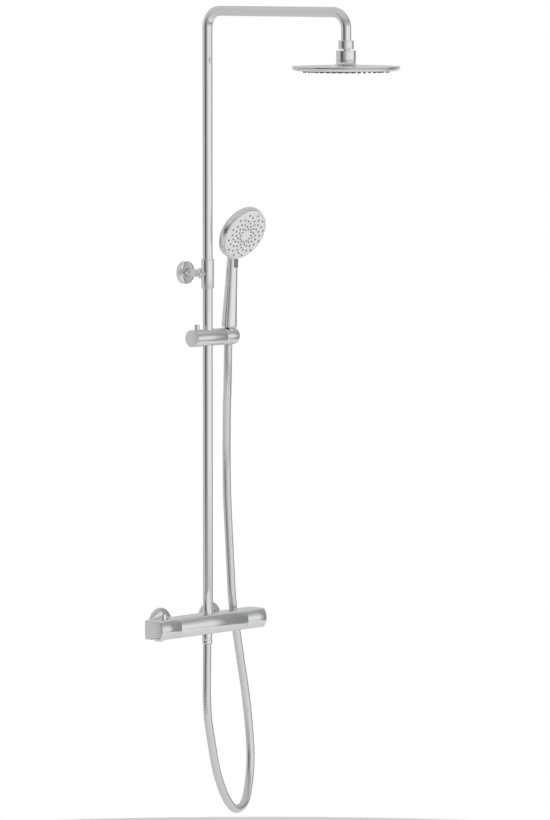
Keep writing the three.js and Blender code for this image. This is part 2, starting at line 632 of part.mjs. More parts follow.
function handsetBody() {
  const { bottom, top, long, bore } = HANDLE;
  const { radius, plateR, plate } = FACE;
  const to = handleFrom + long;
  const handle = turned([
    [0, handleFrom], [bottom - 1, handleFrom], [bottom, handleFrom + 1.2],
    [(bottom + top) / 2 - 0.6, handleFrom + long / 2], [top, to - 12], [top - 1, to + 4], [0, to + 12],
  ], MIDDLE);
  const { radius: widestR, widest, depth, backR } = BOWL;
  const back = quarter(widestR - backR, widest + depth - 1, 0, 5).map(([r, z]) => [backR + r, widest - z]);
  const head = toFace(turned([
    [0, 0], [radius - 1, 0], [radius, -1.2], [(radius + widestR) / 2 + 0.5, widest / 2], ...back,
    [backR, 1 - depth], [0, -depth],
  ], ROUND));
  const neck = new THREE.SphereGeometry(1, 14, 9).scale(top + 1, top, 18).rotateX(degrees(10))
    .translate(0, -1, to + 4);
  const recess = toFace(rod(plateR + GAP, -plate - GAP, 2, ROUND));
  const chamber = toFace(rod(CHAMBER.radius, CHAMBER.floor, 0, MIDDLE));
  const way = rod(bore, handleFrom - 1, to + 2);
  const climb = rod(WATERWAY_R, 0, 26).rotateX(degrees(32)).translate(0, 0, to - 4);
  const buttonPocket = buttonBlock(GAP + 0.1, MODE_BUTTON.travel + GAP);
  return cut(join(handle, head, neck), recess, chamber, way, climb, buttonPocket);
}

/** The mode button's block on the handle's front. Its pocket grows all round and goes deeper. */
function buttonBlock(grow = 0, deeper = 0) {
  const { wide, high, proud, bottom, corner, travel } = MODE_BUTTON;
  const w = wide / 2 + grow;
  const h = high / 2 + grow;
  const shape = new THREE.Shape();
  shape.moveTo(-w + corner, -h);
  shape.lineTo(w - corner, -h).quadraticCurveTo(w, -h, w, -h + corner);
  shape.lineTo(w, h - corner).quadraticCurveTo(w, h, w - corner, h);
  shape.lineTo(-w + corner, h).quadraticCurveTo(-w, h, -w, h - corner);
  shape.lineTo(-w, -h + corner).quadraticCurveTo(-w, -h, -w + corner, -h);
  const back = deeper - HANDLE.bore - travel;
  const depth = back + HANDLE.top + proud + (grow > 0 ? 6 : 0);
  return new THREE.ExtrudeGeometry(shape, { depth, steps: 1, curveSegments: 3, bevelEnabled: false })
    .rotateX(Math.PI / 2).translate(0, back, bottom + high / 2);
}

function handShower() {
  const { bore, tailFrom, tailLong, gap } = HANDSET_WAY;
  const wayR = HANDLE.bore - GAP;
  const tailTo = tailFrom + tailLong;
  const plateTo = -0.4;
  const matFrom = plateTo + GAP;
  const plate = rod(FACE.plateR, -FACE.plate, plateTo, ROUND);
  const mat = ring(FACE_MAT.inner, FACE_MAT.outer, matFrom, matFrom + FACE_MAT.thick, ROUND);
  const { bore: selectorBore, radius, from, thick } = SELECTOR;
  const selector = ring(selectorBore, radius, from, from + thick, MIDDLE);
  const nutFrom = 1 - SLIDER.radius;
  const nutTo = SLIDER.radius - 1.5;
  const nut = turned([
    [HANDLE.bore, nutTo], [CUP_HOLE.top - 0.9, nutTo], [CUP_HOLE.bottom - 0.9, nutFrom], [5, nutFrom],
    [5, 1], [HANDLE.bore, 1],
  ], MIDDLE);
  const handset = group(
    piece('handset_body', handsetBody(), chrome),
    piece('handset_spray_face', toFace(plate), greyPlastic),
    piece('handset_nozzle_mat', toFace(mat), greyPlastic),
    piece('handset_spray_selector', toFace(selector), whitePlastic),
    piece('handset_waterway', ring(bore, wayR, tailTo + gap, handleFrom + HANDLE.long - 14), whitePlastic),
    piece('handset_mode_button', closed(buttonBlock()), darkPlastic),
    piece('handset_tail', ring(bore, wayR, tailFrom, tailTo), brass),
    piece('handset_hose_nut', nut, chrome),
    piece('handset_hose_washer', ring(bore, wayR, 1.6, tailFrom - GAP - 0.1), rubber),
  );
  handset.rotation.z = degrees(TURN);
  const held = group(holderCup(), handset);
  held.position.set(CUP_AT, -RISER_OUT, SLIDER.height);
  held.rotation.x = degrees(LEAN);
  return held;
}

function holderCup() {
  const { radius, seam, right } = SLIDER;
  const from = seam + GAP - CUP_AT;
  const to = right - CUP_AT;
  const edge = 1.2;
  const outer = alongX(turned([
    [0, from], [radius, from], [radius, to - edge], [radius - edge, to], [0, to],
  ], ROUND));
  const end = radius + 1;
  const hole = turned([[0, -end], [CUP_HOLE.bottom, -end], [CUP_HOLE.top, end], [0, end]], MIDDLE);
  return piece('holder_cup', cut(outer, hole), chrome);
}

// ---------------------------------------------------------------- hose
function hose() {
  const nutTop = -halfHeight - GAP;
  const nutBottom = nutTop - HOSE_NUT.long;
  const inner = OUTLET.radius + GAP;
  const nippleEnd = -halfHeight - OUTLET.below;
  const throat = 5;
  const edge = 0.8;
  const nut = turned([
    [inner, nutTop], [HOSE_NUT.radius, nutTop], [HOSE_NUT.radius, nutBottom + edge],
    [HOSE_NUT.radius - edge, nutBottom], [throat, nutBottom],
    [throat, nippleEnd - 3], [inner, nippleEnd - 3],
  ], MIDDLE);
  const washer = ring(throat - 0.2, inner - 0.4, nippleEnd - 2.4, nippleEnd - GAP);
  const points = HOSE_ROUTE.map((point) => new THREE.Vector3(...point));
  const line = new THREE.CatmullRomCurve3(points, false, 'centripetal');
  const section = new THREE.Shape(Array.from({ length: HOSE_SIDES }, (_, i) => {
    const angle = (i / HOSE_SIDES) * Math.PI * 2;
    return new THREE.Vector2(HOSE_R * Math.cos(angle), HOSE_R * Math.sin(angle));
  }));
  const tube = new THREE.ExtrudeGeometry(section, { steps: HOSE_STEPS, extrudePath: line });
  return group(
    piece('hose_lower_nut', nut, chrome, [0, -outletOut, 0]),
    piece('hose_lower_washer', washer, rubber, [0, -outletOut, 0]),
    piece('shower_hose', closed(tube), silverHose),
  );
}

export default group(
  wallUnion(-1, 'left'),
  wallUnion(1, 'right'),
  mixer(),
  riser(),
  coupling(),
  bracket(),
  overheadArm(),
  rainHead(),
  slider(),
  handShower(),
  hose(),
);
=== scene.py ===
"""Looks of a rainfall shower column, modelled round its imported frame.

Metres. X runs along the wall, the wall is Y = 0 with the room at -Y, and Z is up.
"""

import json
import logging
import math
from dataclasses import dataclass
from enum import Enum
from typing import Callable, Dict, List, Optional, Sequence, Tuple, Union

import bmesh
import bpy
import numpy as np
from mathutils import Matrix, Vector

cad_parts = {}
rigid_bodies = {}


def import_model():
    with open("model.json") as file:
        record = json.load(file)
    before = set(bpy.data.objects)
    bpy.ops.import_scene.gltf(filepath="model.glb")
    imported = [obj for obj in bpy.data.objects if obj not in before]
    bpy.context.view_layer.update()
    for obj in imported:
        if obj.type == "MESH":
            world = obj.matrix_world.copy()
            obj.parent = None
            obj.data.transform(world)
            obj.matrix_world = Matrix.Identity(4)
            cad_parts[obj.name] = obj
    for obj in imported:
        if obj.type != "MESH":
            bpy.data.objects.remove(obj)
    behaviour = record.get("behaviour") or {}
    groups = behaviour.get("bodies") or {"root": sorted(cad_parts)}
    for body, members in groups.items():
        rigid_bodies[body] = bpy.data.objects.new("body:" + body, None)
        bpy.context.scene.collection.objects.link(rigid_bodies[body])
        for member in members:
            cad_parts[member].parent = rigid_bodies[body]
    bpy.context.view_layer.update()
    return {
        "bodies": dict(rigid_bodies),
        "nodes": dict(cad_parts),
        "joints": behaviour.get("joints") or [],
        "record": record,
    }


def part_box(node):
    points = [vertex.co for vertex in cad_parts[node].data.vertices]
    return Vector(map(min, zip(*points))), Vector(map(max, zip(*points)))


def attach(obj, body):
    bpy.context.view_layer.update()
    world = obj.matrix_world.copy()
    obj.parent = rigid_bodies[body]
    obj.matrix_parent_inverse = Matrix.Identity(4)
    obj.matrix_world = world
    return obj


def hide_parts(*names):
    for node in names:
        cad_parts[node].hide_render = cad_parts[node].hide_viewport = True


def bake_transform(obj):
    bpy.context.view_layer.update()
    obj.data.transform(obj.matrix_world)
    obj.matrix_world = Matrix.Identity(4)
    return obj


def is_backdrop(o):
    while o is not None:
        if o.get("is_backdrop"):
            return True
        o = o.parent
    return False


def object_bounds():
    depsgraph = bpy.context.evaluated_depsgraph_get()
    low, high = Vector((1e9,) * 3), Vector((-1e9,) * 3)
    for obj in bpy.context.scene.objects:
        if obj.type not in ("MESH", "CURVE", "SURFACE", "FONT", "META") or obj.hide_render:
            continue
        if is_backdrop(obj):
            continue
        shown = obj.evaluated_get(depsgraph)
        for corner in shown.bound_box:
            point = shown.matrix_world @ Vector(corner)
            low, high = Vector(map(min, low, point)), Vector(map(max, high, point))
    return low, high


LOG = logging.getLogger("shower_column")

Point = Tuple[float, float, float]
Profile = Sequence[Tuple[float, float]]
Corners = List[Tuple[float, float]]
Piece = bpy.types.Object
Tree = bpy.types.NodeTree
Socket = bpy.types.NodeSocket

WALL_TO_RISER = 0.063
INLET_SPACING = 0.150
BALL_RADIUS = 0.011
BALL_HEIGHT = 1.128
NEAR = 1e-5  # how near a place has to be to be picked
DOUBLES = 1e-6  # how near two points are to be merged
COLOUR_A, COLOUR_B, COLOUR_OUT = 6, 7, 2  # a mix node's sockets for colours


class Axis(Enum):
    """The way a turned piece's own axis points."""

    UP = (0.0, 0.0, 1.0)
    ROOM = (0.0, -1.0, 0.0)
    RIGHT = (1.0, 0.0, 0.0)


class Roundness(Enum):
    """How many sides a round piece has."""

    BROAD = 160
    FULL = 96
    SMALL = 56
    TINY = 12


# ------------------------------------------------------------------ finishes
def arithmetic(tree: Tree, what: str, first: Socket, *rest: Union[Socket, float]) -> Socket:
    """Adds one step of arithmetic to a tree of nodes.

    Args:
        tree: The nodes.
        what: The operation's name.
        first: Its first input.
        rest: Its other inputs, sockets or numbers.

    Returns:
        The result.
    """
    node = tree.nodes.new("ShaderNodeMath")
    node.operation = what
    tree.links.new(first, node.inputs[0])
    for index, value in enumerate(rest, 1):
        if isinstance(value, float):
            node.inputs[index].default_value = value
        else:
            tree.links.new(value, node.inputs[index])
    return node.outputs[0]


@dataclass(frozen=True)
class Finish:
    """A finish: its colour and gloss, and how both vary over the surface."""

    name: str
    colour: Tuple[float, float, float]
    metallic: float
    gloss_low: float
    gloss_high: float
    cloud_scale: float = 35.0
    shade: float = 0.0
    grain_scale: float = 900.0
    grain: float = 0.0
    coat: float = 0.0
    specular: float = 0.5
    coat_roughness: float = 0.04
    grain_depth: float = 0.0002
    noise_detail: float = 4.0
    cloud_range: Tuple[float, float] = (0.35, 0.65)
    patch_scale: float = 1.7
    patch_range: Tuple[float, float] = (0.3, 0.7)

    def build(self) -> bpy.types.Material:
        """Makes the material once and gives it back.

        Returns:
            The material, which reads Object coordinates alone.
        """
        found = bpy.data.materials.get(self.name)
        if found is not None:
            return found
        material = bpy.data.materials.new(self.name)
        material.use_nodes = True
        tree = material.node_tree
        shader = tree.nodes["Principled BSDF"]
        shader.inputs["Base Color"].default_value = (*self.colour, 1.0)
        shader.inputs["Metallic"].default_value = self.metallic
        shader.inputs["Specular IOR Level"].default_value = self.specular
        shader.inputs["Coat Weight"].default_value = self.coat
        shader.inputs["Coat Roughness"].default_value = self.coat_roughness
        place = tree.nodes.new("ShaderNodeTexCoord").outputs["Object"]
        self._gloss(tree, shader, place)
        if self.shade > 0:
            self._shading(tree, shader, place)
        if self.grain > 0:
            grain = self._noise(tree, place, self.grain_scale)
            self._bump(tree, shader, grain, self.grain, self.grain_depth)
        return material

    def _noise(self, tree: Tree, place: Socket, scale: float) -> Socket:
        """Adds a noise over the surface.

        Args:
            tree: The material's nodes.
            place: The coordinates it reads.
            scale: How fine it is, in repeats a metre.

        Returns:
            Its value from 0 to 1.
        """
        noise = tree.nodes.new("ShaderNodeTexNoise")
        noise.inputs["Scale"].default_value = scale
        noise.inputs["Detail"].default_value = self.noise_detail
        tree.links.new(place, noise.inputs["Vector"])
        return noise.outputs["Fac"]

    def _gloss(self, tree: Tree, shader: bpy.types.Node, place: Socket) -> None:
        """Lets the roughness drift between its two values, as handled and wiped surfaces do.

        Args:
            tree: The material's nodes.
            shader: Its shader.
            place: The coordinates it reads.
        """
        spread = tree.nodes.new("ShaderNodeMapRange")
        spread.inputs["From Min"].default_value = self.cloud_range[0]
        spread.inputs["From Max"].default_value = self.cloud_range[1]
        spread.inputs["To Min"].default_value = self.gloss_low
        spread.inputs["To Max"].default_value = self.gloss_high
        tree.links.new(self._noise(tree, place, self.cloud_scale), spread.inputs["Value"])
        tree.links.new(spread.outputs["Result"], shader.inputs["Roughness"])

    def _shading(self, tree: Tree, shader: bpy.types.Node, place: Socket) -> None:
        """Lets the colour drift a little darker in patches.

        Args:
            tree: The material's nodes.
            shader: Its shader.
            place: The coordinates it reads.
        """
        ramp = tree.nodes.new("ShaderNodeValToRGB")
        dark = tuple(part * (1.0 - self.shade) for part in self.colour)
        ramp.color_ramp.elements[0].position = self.patch_range[0]
        ramp.color_ramp.elements[0].color = (*dark, 1.0)
        ramp.color_ramp.elements[1].position = self.patch_range[1]
        ramp.color_ramp.elements[1].color = (*self.colour, 1.0)
        patches = self._noise(tree, place, self.cloud_scale * self.patch_scale)
        tree.links.new(patches, ramp.inputs["Fac"])
        tree.links.new(ramp.outputs["Color"], shader.inputs["Base Color"])

    @staticmethod
    def _bump(tree: Tree, shader: bpy.types.Node, height: Socket, strength: float, depth: float) -> None:
        """Raises the surface a little by a height, so that the light catches it.

        Args:
            tree: The material's nodes.
            shader: Its shader.
            height: The height, from 0 to 1.
            strength: How much of it shows.
            depth: How far it rises, in metres.
        """
        bump = tree.nodes.new("ShaderNodeBump")
        bump.inputs["Strength"].default_value = strength
        bump.inputs["Distance"].default_value = depth
        tree.links.new(height, bump.inputs["Height"])
        tree.links.new(bump.outputs["Normal"], shader.inputs["Normal"])


@dataclass(frozen=True)
class HoseFinish(Finish):
    """A silver hose: a fine helix of wire under a clear smooth skin."""

    pitch: float = 0.0032
    ribbing: float = 0.22
    wire_depth: float = 0.00015

    def build(self) -> bpy.types.Material:
        """Makes the plain finish, then winds the helix round it.

        Returns:
            The material, which reads the hose's own UV map: metres along, turns round.
        """
        if bpy.data.materials.get(self.name) is not None:
            return bpy.data.materials[self.name]
        material = super().build()
        tree = material.node_tree
        shader = tree.nodes["Principled BSDF"]
        apart = tree.nodes.new("ShaderNodeSeparateXYZ")
        tree.links.new(tree.nodes.new("ShaderNodeUVMap").outputs["UV"], apart.inputs["Vector"])
        along = arithmetic(tree, "MULTIPLY", apart.outputs["X"], 1.0 / self.pitch)
        wound = arithmetic(tree, "ADD", along, apart.outputs["Y"])
        angle = arithmetic(tree, "MULTIPLY", wound, 2 * math.pi)
        wave = arithmetic(tree, "SINE", angle, 0.0)
        self._bump(tree, shader, wave, self.ribbing, self.wire_depth)
        return material


class Finishes:
    """Every finish on the shower column."""

    CHROME = Finish("mirror_chrome", (0.80, 0.81, 0.815), 1.0, 0.035, 0.06)
    PLATED = Finish("plated_plastic", (0.80, 0.81, 0.815), 1.0, 0.045, 0.075)
    BRASS = Finish("turned_brass", (0.72, 0.55, 0.30), 1.0, 0.22, 0.38, shade=0.15, grain=0.2)
    STEEL = Finish("plain_steel", (0.60, 0.61, 0.62), 1.0, 0.25, 0.42, shade=0.12, grain=0.15)
    RUBBER = Finish("black_rubber", (0.025, 0.025, 0.025), 0.0, 0.6, 0.8, shade=0.2, grain=0.5)
    NATURAL = Finish("natural_plastic", (0.80, 0.80, 0.77), 0.0, 0.38, 0.5, shade=0.03, grain=0.2)
    ANCHOR = Finish("grey_nylon", (0.30, 0.30, 0.31), 0.0, 0.45, 0.6, shade=0.08, grain=0.3)
    FACE = Finish("pale_face", (0.72, 0.72, 0.72), 0.0, 0.16, 0.26, shade=0.01, coat=0.3)
    NOZZLE = Finish("grey_silicone", (0.21, 0.21, 0.215), 0.0, 0.45, 0.6, shade=0.12, grain=0.1)
    DARK_NOZZLE = Finish("dark_silicone", (0.055, 0.055, 0.06), 0.0, 0.45, 0.6, shade=0.15, grain=0.3)
    BUTTON = Finish("grey_button", (0.20, 0.20, 0.205), 0.3, 0.28, 0.4, shade=0.05, grain=0.1)
    HOSE = HoseFinish("silver_hose", (0.72, 0.73, 0.74), 1.0, 0.10, 0.15, coat=0.6)


# ------------------------------------------------------------------ bench
class Bench:
    """The modelling steps that the sub-assemblies share."""

    @staticmethod
    def clear() -> None:
        """Leaves edit mode and deselects everything."""
        if bpy.context.object is not None and bpy.context.object.mode != "OBJECT":
            bpy.ops.object.mode_set(mode="OBJECT")
        bpy.ops.object.select_all(action="DESELECT")

    @staticmethod
    def only(piece: Piece) -> None:
        """Selects one object alone and makes it active."""
        Bench.clear()
        piece.select_set(True)
        bpy.context.view_layer.objects.active = piece

    @staticmethod
    def place_in_mesh(piece: Piece) -> None:
        """Moves an object's place into its mesh."""
        Bench.only(piece)
        bpy.ops.object.transform_apply(location=True, rotation=True, scale=True)

    @staticmethod
    def modify(piece: Piece, kind: str, **settings: object) -> None:
        """Adds a modifier and applies it.

        Args:
            piece: The object.
            kind: The modifier's type.
            settings: Its settings by name.
        """
        Bench.only(piece)
        modifier = piece.modifiers.new(kind.lower(), kind)
        for name, value in settings.items():
            setattr(modifier, name, value)
        bpy.ops.object.modifier_apply(modifier=modifier.name)

    @staticmethod
    def ease(piece: Piece, width: float, steps: int = 3, angle: float = 32.0) -> None:
        """Rounds a piece's sharp edges.

        Args:
            piece: The object.
            width: The width of the rounding.
            steps: How many strips it has.
            angle: The turn in degrees past which an edge is sharp.
        """
        Bench.modify(piece, "BEVEL", width=width, segments=steps, limit_method="ANGLE",
                     angle_limit=math.radians(angle), use_clamp_overlap=True)

    @staticmethod
    def smooth(piece: Piece, angle: float = 30.0) -> None:
        """Shades a piece smooth but for edges that turn more than the angle in degrees."""
        Bench.only(piece)
        bpy.ops.object.shade_smooth_by_angle(angle=math.radians(angle))

    @staticmethod
    def pick(piece: Piece, wanted: Callable[[Vector], bool], edges: bool = False) -> None:
        """Selects, in edit mode, the edges or points whose middle is wanted.

        Args:
            piece: The object, in edit mode.
            wanted: Says whether a place is wanted.
            edges: Whether edges are picked by both their ends, and not points.
        """
        mesh = bmesh.from_edit_mesh(piece.data)
        mesh.select_mode = {"EDGE"} if edges else {"VERT"}
        bpy.context.tool_settings.mesh_select_mode = (not edges, edges, False)
        for part in [*mesh.faces, *mesh.edges, *mesh.verts]:
            part.select = False
        place = piece.matrix_world
        for part in mesh.edges if edges else mesh.verts:
            ends = [place @ v.co for v in part.verts] if edges else [place @ part.co]
            if all(wanted(end) for end in ends):
                part.select_set(True)
        mesh.select_flush_mode()
        bmesh.update_edit_mesh(piece.data)

    @staticmethod
    def turned(name: str, profile: Profile, at: Point = (0, 0, 0), axis: Point = Axis.UP.value,
               sides: Roundness = Roundness.FULL, edge: float = 0.0) -> Piece:
        """Turns a piece: a ring of points is drawn along the axis and widened or narrowed as it goes.

        Args:
            name: The piece's name.
            profile: Corners (radius, distance along the axis). It closes on itself where the last
                corner is the first; otherwise both ends are filled.
            at: Where the axis starts.
            axis: Which way it points.
            sides: How round the piece is.
            edge: How wide its sharp edges are rounded.

        Returns:
            The piece, with its place in its mesh.
        """
        Bench.clear()
        along, start = Vector(axis).normalized(), Vector(at)
        closes = profile[0] == profile[-1]
        turn = Vector((0, 0, 1)).rotation_difference(along).to_euler()
        radius, height = profile[0]
        bpy.ops.mesh.primitive_circle_add(
            vertices=sides.value, radius=radius, location=start + along * height, rotation=turn,
            fill_type="NOTHING" if closes else "NGON")
        piece = bpy.context.object
        piece.name = name
        bpy.ops.object.mode_set(mode="EDIT")
        bpy.ops.mesh.select_all(action="SELECT")
        for next_radius, next_height in profile[1:]:
            bpy.ops.mesh.extrude_region_move(TRANSFORM_OT_translate={"value": along * (next_height - height)})
            if next_radius != radius:
                share = next_radius / radius
                middle = start + along * next_height
                bpy.ops.transform.resize(value=(share, share, share), center_override=middle)
            radius, height = next_radius, next_height
        bpy.ops.mesh.select_all(action="SELECT")
        bpy.ops.mesh.remove_doubles(threshold=DOUBLES)
        bpy.ops.mesh.normals_make_consistent(inside=False)
        bpy.ops.object.mode_set(mode="OBJECT")
        Bench.place_in_mesh(piece)
        if edge > 0:
            Bench.ease(piece, edge)
        return piece

    @staticmethod
    def join(name: str, pieces: Sequence[Piece]) -> Piece:
        """Joins objects into the first of them.

        Args:
            name: The joined object's name.
            pieces: The objects.

        Returns:
            The joined object.
        """
        Bench.clear()
        for piece in pieces:
            piece.select_set(True)
        bpy.context.view_layer.objects.active = pieces[0]
        bpy.ops.object.join()
        pieces[0].name = name
        return pieces[0]

    @staticmethod
    def copies(name: str, model: Piece, places: Sequence[Matrix]) -> Piece:
        """Copies a small model to many places and joins the copies.

        Args:
            name: The result's name.
            model: What is copied, made at the origin. It becomes the first copy.
            places: Where each copy goes.

        Returns:
            All the copies as one object, with their places in its mesh.
        """
        made = []
        for place in places:
            copy = model.copy()
            copy.data = model.data.copy()
            copy.matrix_world = place
            bpy.context.collection.objects.link(copy)
            made.append(copy)
        bpy.data.objects.remove(model)
        whole = Bench.join(name, made)
        Bench.place_in_mesh(whole)
        return whole

    @staticmethod
    def cut(piece: Piece, tool: Piece) -> None:
        """Cuts one closed piece out of another, and removes the one that cuts."""
        Bench.modify(piece, "BOOLEAN", object=tool, operation="DIFFERENCE", solver="EXACT")
        bpy.data.objects.remove(tool)

    @staticmethod
    def dress(piece: Piece, finish: Finish, body: Optional[str], slot: str,
              stands_for: Sequence[str] = (), angle: float = 30.0) -> Piece:
        """Gives a finished mesh its material, its body and its part in the frame.

        Args:
            piece: The piece, with its place in its mesh.
            finish: Its finish.
            body: The body it rides on, or none, which leaves it on no body.
            slot: The record's material slot; not used.
            stands_for: The CAD nodes that it stands for.
            angle: The turn in degrees past which an edge stays sharp.

        Returns:
            The piece.
        """
        Bench.smooth(piece, angle)
        piece.data.materials.clear()
        piece.data.materials.append(finish.build())
        if stands_for:
            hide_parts(*stands_for)
        if body is not None:
            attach(piece, body)
        LOG.info("%s: %d faces", piece.name, len(piece.data.polygons))
        return piece


def quarter(radius: float, rise: float, start: float, steps: int) -> Corners:
    """Corners along a quarter of an ellipse, from its side towards its crown.

    Args:
        radius: Half its width.
        rise: Its height.
        start: The height of its side.
        steps: How many corners it has.

    Returns:
        The corners, without the crown itself.
    """
    angles = [index / steps * math.pi / 2 for index in range(steps)]
    return [(radius * math.cos(angle), start + rise * math.sin(angle)) for angle in angles]


def arc(radius: float, centre: float, first: float, last: float, steps: int) -> Corners:
    """Corners along an arc about a point on the axis.

    Args:
        radius: Its radius.
        centre: How far along the axis the point lies.
        first: Its first angle, from level.
        last: Its last angle.
        steps: How many steps it is drawn in.

    Returns:
        The corners, with both ends.
    """
    angles = [first + (last - first) * step / steps for step in range(steps + 1)]
    return [(radius * math.cos(angle), centre + radius * math.sin(angle)) for angle in angles]


def middle_of(node: str) -> Vector:
    """The middle of a CAD node's box."""
    low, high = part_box(node)
    return (low + high) / 2


# ------------------------------------------------------------------ camera and light
@dataclass
class Studio:
    """The camera, the soft light and the pale floor."""

    camera_at: Point = (-9.23727, -7.98761, 1.383)
    pitch: float = 85.5
    heading: float = -50.0
    lens: float = 270.88
    film: float = 36.0
    sees_to: float = 60.0
    floor_size: float = 4.4
    floor_sides: int = 128
    floor_forward: float = -0.2
    floor_below: float = 0.30
    light_power: float = 62.0
    light_size: float = 1.8
    light_aim: Point = (0.05, -0.2, 0.6)
    lights: Tuple[Tuple[str, Point, float], ...] = (
        ("key", (-2.2, -3.0, 2.4), 1.0), ("fill", (2.6, -2.6, 1.6), 0.55))
    even_grey: float = 0.64
    headings: Profile = (
        (-180, 0.64), (-131, 0.62), (-122, 0.50), (-113, 0.13), (-92, 0.12), (-82, 0.27), (-69, 0.40),
        (-57, 0.50), (-46, 0.73), (-34, 0.87), (-18, 0.93), (14, 0.98), (30, 0.89), (49, 0.85),
        (57, 0.34), (72, 0.28), (86, 0.48), (102, 0.62), (180, 0.64))
    border_by_height: Profile = ((0.0, 0.38), (0.50, 0.40), (0.70, 0.58), (1.0, 0.64))
    panel_by_height: Profile = ((0.0, 1.0), (0.12, 1.0), (0.50, 0.0))
    border_by_depth: Profile = ((0.0, 0.0), (0.25, 1.0))

    def camera(self) -> None:
        """Sets the camera at the usual viewing angle."""
        data = bpy.data.cameras.new("camera")
        data.lens = self.lens
        data.sensor_width = self.film
        data.clip_end = self.sees_to
        camera = bpy.data.objects.new("camera", data)
        camera.location = self.camera_at
        camera.rotation_euler = (math.radians(self.pitch), 0.0, math.radians(self.heading))
        bpy.context.scene.collection.objects.link(camera)
        bpy.context.scene.camera = camera

    def floor(self) -> None:
        """Lays a round pale floor well below the hose."""
        Bench.clear()
        low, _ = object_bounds()
        bpy.ops.mesh.primitive_circle_add(
            vertices=self.floor_sides, radius=self.floor_size / 2, fill_type="NGON",
            location=(0, self.floor_forward, low.z - self.floor_below))
        floor = bpy.context.object
        floor.name = "floor"
        floor.data.materials.append(Finish("pale_floor", (0.86, 0.86, 0.86), 0.0, 0.7, 0.8).build())
        floor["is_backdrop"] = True

    def key(self) -> None:
        """Hangs two soft lights for the plastics, which the chrome doesn't show."""
        for name, place, share in self.lights:
            data = bpy.data.lights.new(name, "AREA")
            data.shape = "DISK"
            data.size = self.light_size
            data.energy = self.light_power * share
            light = bpy.data.objects.new(name, data)
            light.location = place
            aim = Vector(self.light_aim) - Vector(place)
            light.rotation_euler = aim.to_track_quat("-Z", "Y").to_euler()
            light.visible_glossy = False
            bpy.context.scene.collection.objects.link(light)

    def surroundings(self) -> None:
        """Paints what the chrome reflects: a bright panel in front with dark edges, and even grey."""
        world = bpy.data.worlds.new("studio")
        bpy.context.scene.world = world
        world.use_nodes = True
        tree = world.node_tree
        tree.nodes.clear()
        way = tree.nodes.new("ShaderNodeSeparateXYZ")
        tree.links.new(tree.nodes.new("ShaderNodeTexCoord").outputs["Generated"], way.inputs["Vector"])
        back = arithmetic(tree, "MULTIPLY", way.outputs["Y"], -1.0)
        heading = arithmetic(tree, "ARCTAN2", way.outputs["X"], back)
        share = arithmetic(tree, "MULTIPLY_ADD", heading, 0.5 / math.pi, 0.5)
        height = arithmetic(tree, "ABSOLUTE", way.outputs["Z"], 0.0)
        around = self._ramp(tree, share, [(0.5 + turn / 360, grey) for turn, grey in self.headings])
        border = self._ramp(tree, height, self.border_by_height)
        front = self._ramp(tree, back, self.border_by_depth)
        rim = self._mix(tree, front, self._flat(tree, self.even_grey), border)
        inside = self._ramp(tree, height, self.panel_by_height)
        seen = self._mix(tree, inside, rim, around)
        studio = tree.nodes.new("ShaderNodeBackground")
        tree.links.new(seen, studio.inputs["Color"])
        white = tree.nodes.new("ShaderNodeBackground")
        white.inputs["Color"].default_value = (1, 1, 1, 1)
        white.inputs["Strength"].default_value = 1.0
        choose = tree.nodes.new("ShaderNodeMixShader")
        tree.links.new(tree.nodes.new("ShaderNodeLightPath").outputs["Is Camera Ray"], choose.inputs[0])
        tree.links.new(studio.outputs[0], choose.inputs[1])
        tree.links.new(white.outputs[0], choose.inputs[2])
        tree.links.new(choose.outputs[0], tree.nodes.new("ShaderNodeOutputWorld").inputs["Surface"])

    @staticmethod
    def _flat(tree: Tree, value: float) -> Socket:
        """Adds an even grey.

        Args:
            tree: The nodes.
            value: How bright it is.

        Returns:
            The grey.
        """
        node = tree.nodes.new("ShaderNodeRGB")
        node.outputs[0].default_value = (value, value, value, 1.0)
        return node.outputs[0]

    @staticmethod
    def _ramp(tree: Tree, factor: Socket, stops: Profile) -> Socket:
        """Adds greys that follow a factor.

        Args:
            tree: The nodes.
            factor: What they follow, from 0 to 1.
            stops: Each factor with its grey.

        Returns:
            The grey at the factor.
        """
        node = tree.nodes.new("ShaderNodeValToRGB")
        elements = node.color_ramp.elements
        while len(elements) > 1:
            elements.remove(elements[-1])
        for index, (place, value) in enumerate(stops):
            element = elements[0] if index == 0 else elements.new(place)
            element.position = place
            element.color = (value, value, value, 1.0)
        tree.links.new(factor, node.inputs["Fac"])
        return node.outputs["Color"]

    @staticmethod
    def _mix(tree: Tree, factor: Socket, first: Socket, second: Socket) -> Socket:
        """Adds a blend of two colours.

        Args:
            tree: The nodes.
            factor: The second colour's share, from 0 to 1.
            first: The first colour.
            second: The second colour.

        Returns:
            The blend.
        """
        node = tree.nodes.new("ShaderNodeMix")
        node.data_type = "RGBA"
        tree.links.new(factor, node.inputs[0])
        tree.links.new(first, node.inputs[COLOUR_A])
        tree.links.new(second, node.inputs[COLOUR_B])
        return node.outputs[COLOUR_OUT]


